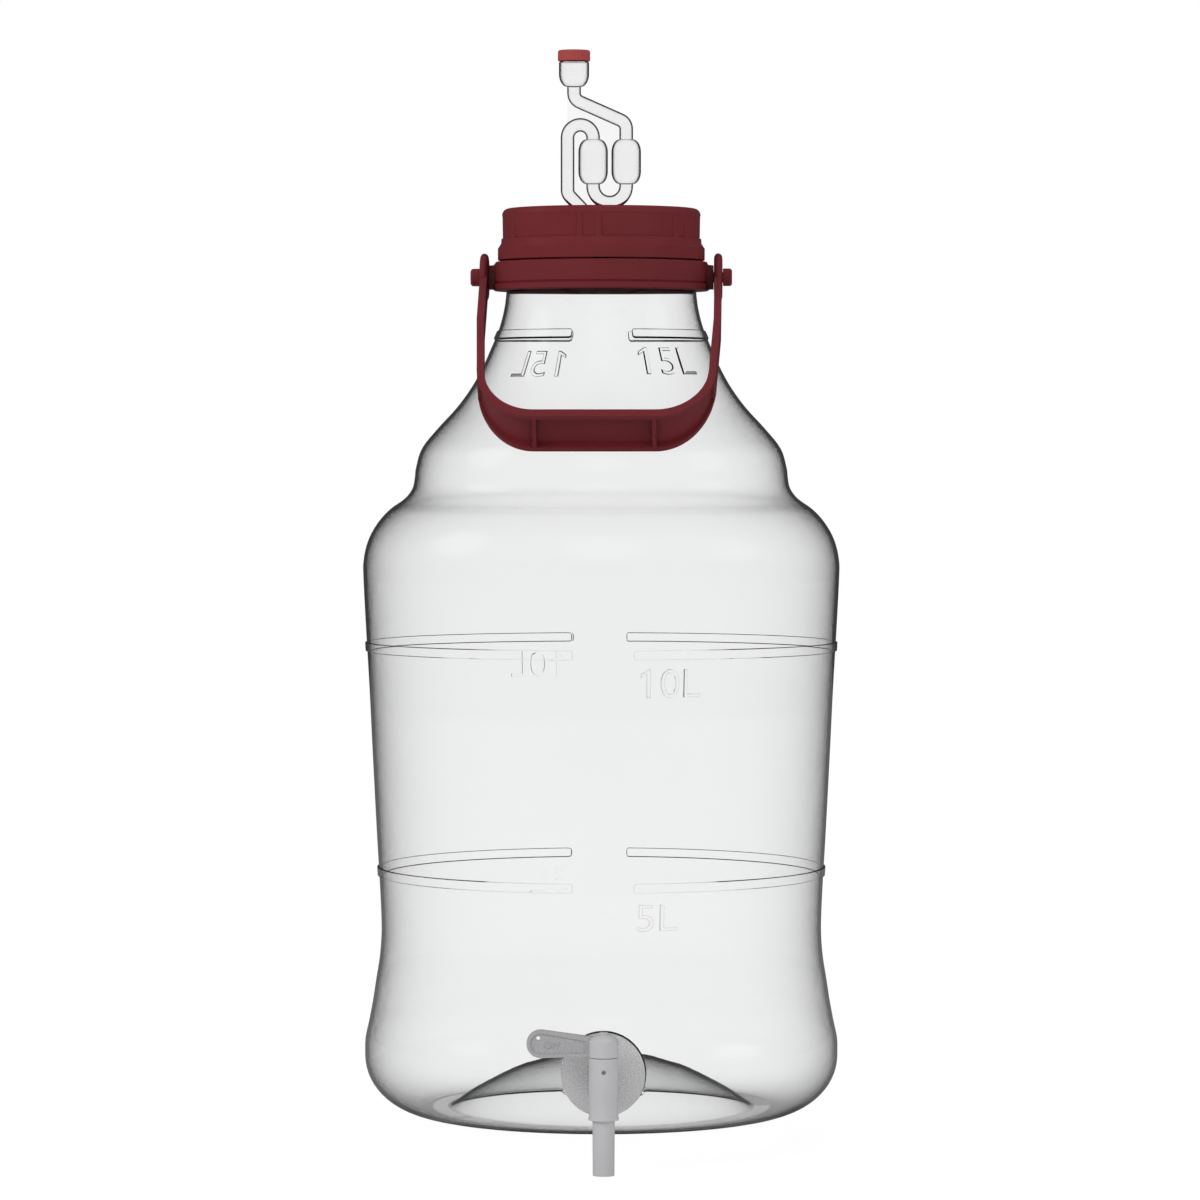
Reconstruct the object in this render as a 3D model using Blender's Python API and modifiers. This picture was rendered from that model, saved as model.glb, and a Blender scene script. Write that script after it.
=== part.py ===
"""Plastic demijohn with a screw lid, an S-shaped airlock, a swing handle and a tap.

Metres, +Z up, front towards -Y. The pieces are drawn about the bottle's own axis, with z = 0 at the
ring it stands on, and one empty carries them to the model's frame: the centre of the bounding box
in X and Y, with z = 0 at the tip of the spout, which hangs below the bottle's base.
"""
from math import acos, asin, atan2, cos, degrees, hypot, pi, radians, sin, tan

import bmesh
import bpy
from mathutils import Matrix, Vector

# Shared clearances and resolution
GAP = 0.0003
OVERRUN = 0.002
MERGE_DISTANCE = 0.00001
TURN_STEPS = 40
SMALL_TURN_STEPS = 20
SHARP_ANGLE = radians(32)

# Bottle: wall, base and heel
WALL = 0.0015
FOOT_OUTER_R = 0.0880
FOOT_W = 0.0080
FOOT_ROUND = 0.0020
PUNT_RISE = 0.0295
HEEL_R = 0.1226
HEEL_RISE = 0.0301
HEEL_LAND = 0.0060

# Bottle: waist, shoulder, the step under the neck, and the neck
WAIST_R = 0.1140
WAIST_Z = 0.0980
SHOULDER_R = 0.1233
SHOULDER_Z = 0.2820
STEP_R = 0.0966
STEP_RISE = 0.0467
NECK_R = 0.0490
NECK_RISE = 0.0970

# Outlines between those places: (share of the change in radius, share of the rise)
HEEL_TO_WAIST_SHARES = ((0.40, 0.31), (0.78, 0.66), (1.0, 1.0))
WAIST_TO_SHOULDER_SHARES = ((0.11, 0.15), (0.60, 0.60), (1.0, 1.0))
SHOULDER_TO_STEP_SHARES = (
    (0.03, 0.18), (0.12, 0.34), (0.27, 0.50), (0.50, 0.64), (0.80, 0.78), (0.94, 0.87), (1.0, 1.0),
)
STEP_TO_NECK_SHARES = (
    (0.04, 0.119), (0.12, 0.198), (0.25, 0.267), (0.45, 0.376), (0.61, 0.475), (0.76, 0.603),
    (0.88, 0.742), (0.97, 0.880), (1.0, 1.0),
)

# Bottle: graduation bands, at 5 litres above the base, 10 below the shoulder and 15 below the neck
LOW_BAND_RISE = 0.1257
MIDDLE_BAND_DROP = 0.0400
TOP_BAND_DROP = 0.0229
BAND_H = 0.0050
BAND_PROUD = 0.0009
BAND_CHAMFER = 0.0007
BAND_BREAK = 0.0302

# Bottle: neck bead and threaded finish
BEAD_H = 0.0029
BEAD_OUT = 0.0023
FINISH_IN = 0.0025
FINISH_H = 0.0228
THREAD_PROUD = 0.0017
THREAD_H = 0.0032
THREAD_PITCH = 0.0060
THREAD_TOP = 0.0050
THREAD_COUNT = 2

# Collar round the neck, with a pin on each side for the handle
COLLAR_H = 0.0149
COLLAR_WALL = 0.0057
COLLAR_LIP = 0.0008
COLLAR_LIP_H = 0.0043
COLLAR_EDGE = 0.0006
COLLAR_YAW = radians(-2.4)
PIN_RISE = 0.0070
PIN_R = 0.00275
BOSS_OUT = 0.0030
BOSS_R = 0.0062
BOSS_ROOT_R = 0.0068
PIN_HEAD_R = 0.00455
PIN_HEAD_T = 0.0047
PIN_HEAD_EDGE = 0.0006

# Swing handle
ARM_T = 0.0037
ARM_W = 0.0145
EYE_R = 0.0124
EYE_PROUD = 0.0003
GRIP_REACH = 0.1253
GRIP_DEPTH = 0.0065
GRIP_W = 0.0224
GRIP_FLAT = 0.0610
INNER_BEND = 0.0410
OUTER_BEND = 0.0480
TAPER_LENGTH = 0.0340
ARM_LEAN = 0.0018
LEAN_FROM = 0.0450
GRIP_WALL = 0.00235
GRIP_RIB_T = 0.0020
GRIP_RIB_INSET = 0.0006
CHANNEL_RUN = 0.0280
BEND_STEPS = 7
HANDLE_REST_CLEARANCE = 0.0006

# Lid
LID_LIFT_GAP = 0.0007
LID_T = 0.0025
LID_WALL = 0.0022
LID_CLEARANCE = 0.0031
LID_DRAFT = 0.0005
LID_SKIRT_OUT = 0.0017
LID_SKIRT_H = 0.0060
LID_FLARE_H = 0.0036
LID_EDGE_R = 0.0033
LID_THREAD_PROUD = 0.0010
LID_THREAD_H = 0.0026
WELL_R = 0.0270
WELL_DEPTH = 0.0147
WELL_FLOOR_T = 0.0020
WELL_WALL = 0.0020
PANEL_DEPTH = 0.0008
PANEL_H = 0.0120
PANEL_DROP = 0.0037
LID_RIB_W = 0.0026
LID_RIB_GROUPS = 6
LID_RIB_HALF_PITCH = radians(5.5)
LID_RIB_TURN = radians(-7.5)
LID_GASKET_T = 0.0014
LID_GASKET_W = 0.0050
LID_GASKET_INSET = 0.0011

# Rubber bush in the lid
GROMMET_HOLE_R = 0.0068
GROMMET_FLANGE_R = 0.0092
GROMMET_FLANGE_T = 0.0020

# Airlock: one tube with a cup and two chambers, and a thin web between its runs
TUBE_R = 0.00355
TUBE_WALL = 0.0010
STEM_RISE = 0.0042
STEM_LENGTH = 0.0285
LEG_OFFSET = 0.01745
LEG_RISE = 0.0183
LOOP_R = 0.0066
RETURN_R = 0.00855
RETURN_DROP = 0.0045
CHAMBER_R = 0.00765
CHAMBER_H = 0.0230
CHAMBER_ABOVE_RETURN = 0.0010
LOOP_ABOVE_CHAMBER = 0.0009
CROSS_RISE = 0.0087
CROSS_CLIMB = 0.0119
CUP_OFFSET = 0.0141
CUP_R = 0.0078
CUP_H = 0.0175
CUP_ABOVE_CROSS = 0.0065
CUP_RIM_IN = 0.0005
VESSEL_ROUND = 0.0066
TUBE_BEND_R = 0.0050
CORNER_STEPS = 2
RETURN_STEPS = 4
VESSEL_STEPS = 3
TUBE_BEVEL_RESOLUTION = 2
WEB_T = 0.0010

# Cap over the airlock's cup
CAP_R = 0.00835
CAP_WALL = 0.00075
CAP_H = 0.00555
CAP_T = 0.0010
CAP_EDGE = 0.0006

# Tap: place on the bottle, its flat pad, and the washers and nut on its shank
TAP_Z = 0.0345
PAD_PROUD = 0.0003
PAD_R = 0.0210
PAD_WALL = 0.0025
PAD_RIM = 0.0016
SHANK_R = 0.0080
SHANK_BORE_R = 0.0055
SHANK_END = 0.0030
WASHER_T = 0.0015
OUTER_WASHER_R = 0.0211
WASHER_SLIP = 0.0003
INNER_WASHER_R = 0.0150
NUT_T = 0.0080
NUT_R = 0.0160
NUT_SIDES = 6

# Tap: flange, neck and barrel
FLANGE_R = 0.02075
FLANGE_T = 0.0030
FLANGE_EDGE = 0.0005
TAP_NECK = 0.0073
TAP_NECK_R = 0.0065
PORT_R = 0.0030
BARREL_R = 0.0072
BARREL_BELOW = 0.0203
BARREL_ABOVE = 0.01035
BARREL_LIP = 0.0003
BARREL_LIP_H = 0.0012
DIMPLE_R = 0.0011
DIMPLE_DEPTH = 0.0006
DIMPLE_RISE = 0.0038

# Tap: turning plug with cap, lever and spout
PLUG_R = 0.0055
PLUG_BORE_R = 0.0034
PLUG_BORE_ABOVE = 0.0045
RING_GROOVE_DEPTH = 0.0011
RING_GROOVE_H = 0.0014
RING_R = 0.0005
RING_FROM_TOP = 0.0035
RING_FROM_BOTTOM = 0.0050
CAP_STRAIGHT = 0.0073
CAP_DOME = 0.0042
PIP_R = 0.0020
PIP_H = 0.0008
SPOUT_TIP_R = 0.00535
SPOUT_BORE_R = 0.0040
SPOUT_DROP = 0.0133
LEVER_REACH = 0.0310
LEVER_END_R = 0.00695
LEVER_ROOT_H = 0.0098
LEVER_ROOT_IN = 0.0030
LEVER_T = 0.0030
LEVER_RIM = 0.0018
LEVER_RECESS = 0.0006
LEVER_HOLE_R = 0.0010
LEVER_HOLE_OUT = 0.0012
LEVER_HOLE_RISE = 0.0025
LEVER_END_STEPS = 10

# Places worked out from those sizes
FOOT_INNER_R = FOOT_OUTER_R - FOOT_W
STEP_Z = SHOULDER_Z + STEP_RISE
NECK_Z = STEP_Z + NECK_RISE
BAND_HEIGHTS = (LOW_BAND_RISE, SHOULDER_Z - MIDDLE_BAND_DROP, NECK_Z - TOP_BAND_DROP)
COLLAR_TOP_Z = NECK_Z + COLLAR_H
BEAD_TOP_Z = COLLAR_TOP_Z + GAP / 2
BEAD_Z = BEAD_TOP_Z - BEAD_H
BEAD_R = NECK_R + BEAD_OUT
FINISH_R = NECK_R - FINISH_IN
RIM_Z = BEAD_TOP_Z + FINISH_H
LID_CEILING_Z = RIM_Z + GAP + LID_GASKET_T + GAP
LID_TOP_Z = LID_CEILING_Z + LID_T
LID_BOTTOM_Z = BEAD_TOP_Z + LID_LIFT_GAP
LID_INNER_R = FINISH_R + LID_CLEARANCE
LID_OUTER_R = LID_INNER_R + LID_WALL
WELL_FLOOR_Z = LID_TOP_Z - WELL_DEPTH
COLLAR_R = NECK_R + GAP + COLLAR_WALL
PIN_Z = NECK_Z + PIN_RISE
ARM_X = COLLAR_R + BOSS_OUT + GAP + EYE_PROUD
BARREL_BOTTOM_Z = TAP_Z - BARREL_BELOW
BARREL_TOP_Z = TAP_Z + BARREL_ABOVE
CAP_BOTTOM_Z = BARREL_TOP_Z + GAP
PLUG_TOP_RING_Z = BARREL_TOP_Z - RING_FROM_TOP
PLUG_LOW_RING_Z = BARREL_BOTTOM_Z + RING_FROM_BOTTOM

# Planes for flat outlines: their two numbers are X and Z, or Y and Z
FRONT_PLANE = Matrix.Rotation(radians(90), 4, "X")
SIDE_PLANE = Matrix(((0, 0, 1, 0), (1, 0, 0, 0), (0, 1, 0, 0), (0, 0, 0, 1)))

# Turns that lay a piece drawn upright along +X, -X or the front, -Y
TOWARDS_RIGHT = Matrix.Rotation(radians(90), 4, "Y")
TOWARDS_LEFT = Matrix.Rotation(radians(-90), 4, "Y")
TOWARDS_FRONT = Matrix.Rotation(radians(90), 4, "X")

# Turns a small round piece by half a side, to put a flat where an edge was
HALF_SIDE = Matrix.Rotation(pi / SMALL_TURN_STEPS, 4, "Z")

# Colour, roughness, metallic and transmission of each piece
CLEAR_PET = ((0.93, 0.95, 0.95), 0.06, 0.0, 1.0)
CLEAR_ACRYLIC = ((0.95, 0.96, 0.96), 0.05, 0.0, 1.0)
DARK_RED = ((0.13, 0.020, 0.024), 0.42, 0.0, 0.0)
BRIGHT_RED = ((0.30, 0.055, 0.055), 0.40, 0.0, 0.0)
BLACK_RUBBER = ((0.03, 0.03, 0.03), 0.75, 0.0, 0.0)
WHITE_FOAM = ((0.80, 0.80, 0.78), 0.70, 0.0, 0.0)
LIGHT_GREY = ((0.46, 0.46, 0.48), 0.42, 0.0, 0.0)


def clear_scene():
    """Remove what the file opened with."""
    for thing in list(bpy.data.objects):
        bpy.data.objects.remove(thing, do_unlink=True)


def new_collection(name):
    collection = bpy.data.collections.new(name)
    bpy.context.scene.collection.children.link(collection)
    return collection


def new_object(name, mesh):
    piece = bpy.data.objects.new(name, mesh)
    PIECES.objects.link(piece)
    return piece


def make_cutter(piece):
    """Move a helper solid out of the object's own collection."""
    PIECES.objects.unlink(piece)
    CUTTERS.objects.link(piece)
    piece.hide_render = True
    piece.display_type = "WIRE"


def turned(name, *outlines, closed=False, steps=TURN_STEPS, turn=None):
    """Turn outlines of (radius, height) points about Z; each runs down its outer side."""
    mesh = bpy.data.meshes.new(name)
    points = []
    edges = []
    for outline in outlines:
        first = len(points)
        points += [(radius, 0, height) for radius, height in outline]
        last = len(points) - 1
        edges += [(i, i + 1) for i in range(first, last)]
        if closed:
            edges.append((last, first))
    mesh.from_pydata(points, edges, [])
    piece = new_object(name, mesh)
    screw = piece.modifiers.new("turn", "SCREW")
    screw.steps = steps
    screw.render_steps = steps
    screw.use_merge_vertices = True
    screw.merge_threshold = MERGE_DISTANCE
    if turn is not None:
        piece.matrix_world = turn
    return piece


def rod(name, radius, centre, length, turn=None, steps=SMALL_TURN_STEPS):
    """A round bar centred on a point, along Z unless turned."""
    shape = bmesh.new()
    bmesh.ops.create_cone(
        shape, cap_ends=True, segments=steps, radius1=radius, radius2=radius, depth=length
    )
    mesh = bpy.data.meshes.new(name)
    shape.to_mesh(mesh)
    shape.free()
    piece = new_object(name, mesh)
    place = Matrix.Translation(Vector(centre))
    piece.matrix_world = place @ turn if turn is not None else place
    return piece


def blocks(name, boxes):
    """Boxes in one mesh, each given as (size, matrix)."""
    shape = bmesh.new()
    for size, place in boxes:
        stretch = Matrix.Diagonal((size[0], size[1], size[2], 1))
        bmesh.ops.create_cube(shape, size=1, matrix=place @ stretch)
    mesh = bpy.data.meshes.new(name)
    shape.to_mesh(mesh)
    shape.free()
    return new_object(name, mesh)


def as_mesh(curve_object):
    """Replace a curve object with a closed mesh in the same place."""
    bpy.context.view_layer.update()
    graph = bpy.context.evaluated_depsgraph_get()
    mesh = bpy.data.meshes.new_from_object(curve_object.evaluated_get(graph))
    shape = bmesh.new()
    shape.from_mesh(mesh)
    bmesh.ops.remove_doubles(shape, verts=shape.verts, dist=MERGE_DISTANCE)
    bmesh.ops.recalc_face_normals(shape, faces=shape.faces)
    shape.to_mesh(mesh)
    shape.free()
    name = curve_object.name
    place = curve_object.matrix_world.copy()
    bpy.data.objects.remove(curve_object, do_unlink=True)
    piece = new_object(name, mesh)
    piece.matrix_world = place
    return piece


def plate(name, outlines, thickness, plane):
    """Flat outlines in a plane, thickened half to each side."""
    curve = bpy.data.curves.new(name, "CURVE")
    curve.dimensions = "2D"
    curve.fill_mode = "BOTH"
    curve.extrude = thickness / 2
    for outline in outlines:
        spline = curve.splines.new("POLY")
        spline.points.add(len(outline) - 1)
        for point, (across, up) in zip(spline.points, outline):
            point.co = (across, up, 0, 1)
        spline.use_cyclic_u = True
    guide = bpy.data.objects.new(name, curve)
    PIECES.objects.link(guide)
    guide.matrix_world = plane
    return as_mesh(guide)


def tube(name, stations):
    """A tube in the plane y = 0 through stations of (x, z, radius)."""
    curve = bpy.data.curves.new(name, "CURVE")
    curve.dimensions = "3D"
    curve.bevel_depth = TUBE_R
    curve.bevel_resolution = TUBE_BEVEL_RESOLUTION
    curve.use_fill_caps = True
    spline = curve.splines.new("POLY")
    spline.points.add(len(stations) - 1)
    for point, (x, z, radius) in zip(spline.points, stations):
        point.co = (x, 0, z, 1)
        point.radius = radius / TUBE_R
    guide = bpy.data.objects.new(name, curve)
    PIECES.objects.link(guide)
    return as_mesh(guide)


def clean(mesh):
    """Weld the doubled points that cuts leave, and join their flat slivers."""
    shape = bmesh.new()
    shape.from_mesh(mesh)
    bmesh.ops.remove_doubles(shape, verts=shape.verts, dist=MERGE_DISTANCE)
    bmesh.ops.dissolve_degenerate(shape, edges=shape.edges, dist=MERGE_DISTANCE)
    shape.to_mesh(mesh)
    shape.free()


def combine(piece, helper, operation):
    """Join a helper solid to a piece, or cut it away."""
    change = piece.modifiers.new(helper.name, "BOOLEAN")
    change.solver = "EXACT"
    change.operation = operation
    change.object = helper
    make_cutter(helper)


def join(piece, helper):
    combine(piece, helper, "UNION")


def cut(piece, helper):
    combine(piece, helper, "DIFFERENCE")


def finish(piece, look, origin=(0, 0, 0)):
    """Settle a piece's modifiers, put its origin on its axis, and give it shading and a material."""
    bpy.context.view_layer.update()
    graph = bpy.context.evaluated_depsgraph_get()
    mesh = bpy.data.meshes.new_from_object(piece.evaluated_get(graph))
    mesh.transform(Matrix.Translation(-Vector(origin)) @ piece.matrix_world)
    clean(mesh)
    piece.modifiers.clear()
    piece.data = mesh
    piece.matrix_world = Matrix.Translation(Vector(origin))
    mesh.shade_smooth()
    mesh.set_sharp_from_angle(angle=SHARP_ANGLE)
    colour, roughness, metallic, transmission = look
    material = bpy.data.materials.new(piece.name)
    material.use_nodes = True
    shader = material.node_tree.nodes["Principled BSDF"]
    shader.inputs["Base Color"].default_value = (*colour, 1)
    shader.inputs["Roughness"].default_value = roughness
    shader.inputs["Metallic"].default_value = metallic
    shader.inputs["Transmission Weight"].default_value = transmission
    mesh.materials.clear()
    mesh.materials.append(material)
    return piece


def run(start, end, shares):
    """Points from start to end, each at its share of the change in radius and in height."""
    points = []
    for radius_share, height_share in shares:
        radius = start[0] + radius_share * (end[0] - start[0])
        height = start[1] + height_share * (end[1] - start[1])
        points.append((radius, height))
    return points


def arc(centre, radii, first, last, steps):
    """Points of an elliptical arc between two angles in degrees, both ends included."""
    points = []
    for step in range(steps + 1):
        angle = radians(first + (last - first) * step / steps)
        points.append((centre[0] + radii[0] * cos(angle), centre[1] + radii[1] * sin(angle)))
    return points


def inset(points, depth):
    """An outline that runs down its outer side, moved inwards by depth."""
    moved = []
    for i, (radius, height) in enumerate(points):
        before = points[max(i - 1, 0)]
        after = points[min(i + 1, len(points) - 1)]
        along_r = after[0] - before[0]
        along_z = after[1] - before[1]
        length = hypot(along_r, along_z)
        moved.append((radius + depth * along_z / length, height - depth * along_r / length))
    return moved


def body_skin():
    """The bottle's outside from the neck down to the middle of its base."""
    heel_top = (HEEL_R, HEEL_RISE + HEEL_LAND)
    waist = (WAIST_R, WAIST_Z)
    shoulder = (SHOULDER_R, SHOULDER_Z)
    step = (STEP_R, STEP_Z)
    neck = (NECK_R, NECK_Z)
    upward = arc(
        (FOOT_OUTER_R, HEEL_RISE), (HEEL_R - FOOT_OUTER_R, HEEL_RISE), -90, 0, 4
    )
    upward.append(heel_top)
    upward += run(heel_top, waist, HEEL_TO_WAIST_SHARES)
    upward += run(waist, shoulder, WAIST_TO_SHOULDER_SHARES)
    upward += run(shoulder, step, SHOULDER_TO_STEP_SHARES)
    upward += run(step, neck, STEP_TO_NECK_SHARES)
    rise = PUNT_RISE - FOOT_ROUND
    dome_rim = FOOT_INNER_R - FOOT_ROUND
    dome_r = (dome_rim ** 2 + rise ** 2) / (2 * rise)
    dome_angle = degrees(asin(dome_rim / dome_r))
    dome = arc((0, PUNT_RISE - dome_r), (dome_r, dome_r), 90 - dome_angle, 90, 4)
    return upward[::-1] + [(FOOT_INNER_R, 0)] + dome


def skin_radius(height):
    """The outside radius of the body at a height above the heel."""
    points = body_skin()
    for (upper_r, upper_z), (lower_r, lower_z) in zip(points, points[1:]):
        if lower_z <= height <= upper_z:
            share = (height - lower_z) / (upper_z - lower_z)
            return lower_r + share * (upper_r - lower_r)
    return NECK_R


def widest_radius(low, high):
    """The bottle's largest outside radius between two heights."""
    heights = [low, high] + [height for _, height in body_skin() if low < height < high]
    return max(skin_radius(height) for height in heights)


# Places along the tap, whose pad stands clear of the skin behind the washer
WASHER_REACH = OUTER_WASHER_R + WASHER_SLIP
PAD_FACE = widest_radius(TAP_Z - WASHER_REACH, TAP_Z + WASHER_REACH) + PAD_PROUD
PAD_BACK = PAD_FACE - PAD_WALL
FLANGE_BACK = PAD_FACE + GAP + WASHER_T + GAP
FLANGE_FACE = FLANGE_BACK + FLANGE_T
TAP_REACH = FLANGE_FACE + TAP_NECK + BARREL_R
NUT_FACE = PAD_BACK - GAP - WASHER_T - GAP

# The model's frame
FRAME_Y = (TAP_REACH + BARREL_R + BARREL_LIP - SHOULDER_R) / 2
FRAME_Z = SPOUT_DROP


def finish_skin():
    """The neck above the shoulder: rim, thread ridges, bead and the seat of the collar."""
    points = [(FINISH_R, RIM_Z)]
    for ridge in range(THREAD_COUNT):
        top = RIM_Z - THREAD_TOP - ridge * THREAD_PITCH
        points.append((FINISH_R, top))
        points.append((FINISH_R + THREAD_PROUD, top - THREAD_H / 2))
        points.append((FINISH_R, top - THREAD_H))
    points += [
        (FINISH_R, BEAD_TOP_Z), (BEAD_R, BEAD_TOP_Z), (BEAD_R, BEAD_Z), (NECK_R, BEAD_Z),
    ]
    return points


def graduation_bands():
    """Three raised rings, each broken at the front and the back."""
    root = WALL / 2
    rings = []
    for height in BAND_HEIGHTS:
        high = height + BAND_H / 2
        low = height - BAND_H / 2
        rings.append([
            (skin_radius(high) - root, high),
            (skin_radius(high) + BAND_PROUD, high - BAND_CHAMFER),
            (skin_radius(low) + BAND_PROUD, low + BAND_CHAMFER),
            (skin_radius(low) - root, low),
        ])
    bands = turned("graduation_bands", *rings, closed=True)
    size = (BAND_BREAK, 2 * SHOULDER_R + BAND_BREAK, NECK_Z)
    gap_block = blocks("band_break", [(size, Matrix.Translation((0, 0, NECK_Z / 2 + BAND_H)))])
    cut(bands, gap_block)
    return bands


def build_bottle():
    skin = body_skin()
    outline = [(0, RIM_Z)] + finish_skin() + skin
    bottle = turned("bottle", outline)
    pad_length = PAD_FACE - FOOT_OUTER_R
    pad_middle = (0, -(PAD_FACE + FOOT_OUTER_R) / 2, TAP_Z)
    join(bottle, rod("tap_pad", PAD_R, pad_middle, pad_length, TOWARDS_FRONT, TURN_STEPS))
    bore_r = FINISH_R - WALL
    cavity_outline = [(0, RIM_Z + OVERRUN), (bore_r, RIM_Z + OVERRUN), (bore_r, BEAD_Z)]
    cavity_outline += inset(skin, WALL)
    cavity_outline[-1] = (0, PUNT_RISE + WALL)
    cut(bottle, turned("cavity", cavity_outline))
    recess_length = PAD_BACK - FOOT_INNER_R
    recess_middle = (0, -(PAD_BACK + FOOT_INNER_R) / 2, TAP_Z)
    recess_r = PAD_R - PAD_RIM
    recess = rod("pad_recess", recess_r, recess_middle, recess_length, TOWARDS_FRONT, TURN_STEPS)
    cut(bottle, recess)
    hole_length = 2 * (PAD_WALL + OVERRUN)
    cut(bottle, rod("tap_hole", SHANK_R + GAP, (0, -PAD_FACE, TAP_Z), hole_length, TOWARDS_FRONT))
    join(bottle, graduation_bands())
    return finish(bottle, CLEAR_PET)


def build_collar():
    inner_r = NECK_R + GAP
    rebate_r = BEAD_R + GAP
    rebate_z = BEAD_Z - GAP
    lip_r = COLLAR_R + COLLAR_LIP
    lip_z = NECK_Z + COLLAR_LIP_H
    outline = [
        (COLLAR_R - COLLAR_EDGE, COLLAR_TOP_Z), (COLLAR_R, COLLAR_TOP_Z - COLLAR_EDGE),
        (COLLAR_R, lip_z + COLLAR_LIP), (lip_r, lip_z), (lip_r, NECK_Z + COLLAR_EDGE),
        (lip_r - COLLAR_EDGE, NECK_Z), (inner_r, NECK_Z), (inner_r, rebate_z),
        (rebate_r, rebate_z), (rebate_r, COLLAR_TOP_Z),
    ]
    collar = turned("handle_collar", outline, closed=True)
    boss_end = COLLAR_R + BOSS_OUT
    head_in = ARM_X + ARM_T + EYE_PROUD + GAP
    head_out = head_in + PIN_HEAD_T
    pin_outline = [
        (0, head_out), (PIN_HEAD_R - PIN_HEAD_EDGE, head_out),
        (PIN_HEAD_R, head_out - PIN_HEAD_EDGE), (PIN_HEAD_R, head_in), (PIN_R, head_in),
        (PIN_R, boss_end), (BOSS_R, boss_end), (BOSS_ROOT_R, COLLAR_R - COLLAR_WALL / 2),
        (0, COLLAR_R - COLLAR_WALL / 2),
    ]
    for side, turn in (("right", TOWARDS_RIGHT), ("left", TOWARDS_LEFT)):
        place = Matrix.Translation((0, 0, PIN_Z)) @ turn
        pin = turned("pin_" + side, pin_outline, steps=SMALL_TURN_STEPS, turn=place)
        join(collar, pin)
    finish(collar, DARK_RED)
    collar.rotation_euler.z = COLLAR_YAW
    return collar


def grip_side(extra, depth, bend):
    """Half of a U-shaped line: down the +X arm, round the corner to the flat of the grip."""
    arm = ARM_X + extra
    reach = GRIP_REACH + depth
    flat = GRIP_FLAT / 2
    across = arm - ARM_LEAN - flat
    corner = arc((flat, -(reach - bend)), (across, bend), 0, -90, BEND_STEPS)
    return [(arm, 0), (arm, -LEAN_FROM)] + corner


def taper_sides(wall):
    """What lies beside the handle's tapered sides, drawn in by a wall, on both sides."""
    full = GRIP_W / 2 - wall
    slim = ARM_W / 2 - wall
    low = GRIP_REACH + GRIP_DEPTH
    slope_run = TAPER_LENGTH * OVERRUN / (full - slim)
    side = [
        (slim, OVERRUN), (slim, TAPER_LENGTH - low), (full, -low),
        (full + OVERRUN, -low - slope_run), (full + wall + 2 * OVERRUN, -low),
        (full + wall + 2 * OVERRUN, OVERRUN),
    ]
    return [side, [(-y, z) for y, z in side[::-1]]]


def handle_rest_angle():
    """How far forward from hanging straight down the grip lies when it rests on the shoulder."""
    def clearance(angle):
        least = SHOULDER_R
        for reach in (GRIP_REACH, GRIP_REACH + GRIP_DEPTH):
            for step in range(3):
                across = GRIP_W * (step / 2 - 1 / 2)
                forward = reach * sin(angle) + across * cos(angle)
                height = PIN_Z - reach * cos(angle) + across * sin(angle)
                least = min(least, forward - skin_radius(height))
        return least

    low = radians(20)
    high = radians(89)
    for _ in range(40):
        middle = (low + high) / 2
        if clearance(middle) < HANDLE_REST_CLEARANCE:
            low = middle
        else:
            high = middle
    return high


def build_handle():
    """Drawn hanging straight down from the pins' axis, which is its origin."""
    right = grip_side(ARM_T, GRIP_DEPTH, OUTER_BEND)
    inner_right = grip_side(0, 0, INNER_BEND)
    left = [(-x, z) for x, z in right[::-1]]
    inner_left = [(-x, z) for x, z in inner_right]
    outline = right + left + inner_left + inner_right[::-1]
    handle = plate("handle", [outline], GRIP_W, FRONT_PLANE)

    # Narrow the arms from the grip upwards
    far_x = ARM_X + ARM_T + OVERRUN
    cut(handle, plate("arm_taper", taper_sides(0), 2 * far_x, SIDE_PLANE))

    # Hollow the grip from outside, with two cross ribs left standing
    channel_top = CHANNEL_RUN - GRIP_REACH
    far_z = -(GRIP_REACH + GRIP_DEPTH + OVERRUN)
    floor = grip_side(GRIP_WALL, GRIP_WALL, INNER_BEND + GRIP_WALL)
    floor = [(x, z) for x, z in floor if z < channel_top]
    floor.insert(0, (floor[0][0], channel_top))
    channel = floor + [(-x, z) for x, z in floor[::-1]]
    channel += [(-far_x, channel_top), (-far_x, far_z), (far_x, far_z), (far_x, channel_top)]
    channel_w = GRIP_W - 2 * GRIP_WALL
    hollow = plate("grip_channel", [channel], channel_w, FRONT_PLANE)
    rib_h = GRIP_DEPTH + 2 * OVERRUN
    rib_x = GRIP_FLAT / 2 - GRIP_RIB_INSET
    ribs = []
    for x in (-rib_x, rib_x):
        place = Matrix.Translation((x, 0, -(GRIP_REACH + GRIP_DEPTH / 2)))
        ribs.append(((GRIP_RIB_T, GRIP_W, rib_h), place))
    cut(hollow, blocks("grip_ribs", ribs))
    cut(hollow, plate("channel_taper", taper_sides(GRIP_WALL), 2 * far_x, SIDE_PLANE))
    cut(handle, hollow)

    # An eye at the top of each arm, with its hole for the pin
    eye_t = ARM_T + 2 * EYE_PROUD
    for side_name, sign in (("right", 1), ("left", -1)):
        middle = (sign * (ARM_X + ARM_T / 2), 0, 0)
        join(handle, rod("eye_" + side_name, EYE_R, middle, eye_t, TOWARDS_RIGHT))
    cut(handle, rod("pin_holes", PIN_R + GAP, (0, 0, 0), 2 * far_x, TOWARDS_RIGHT))
    finish(handle, DARK_RED)
    handle.location = (0, 0, PIN_Z)
    handle.rotation_euler = (-handle_rest_angle(), 0, COLLAR_YAW)
    return handle


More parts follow.
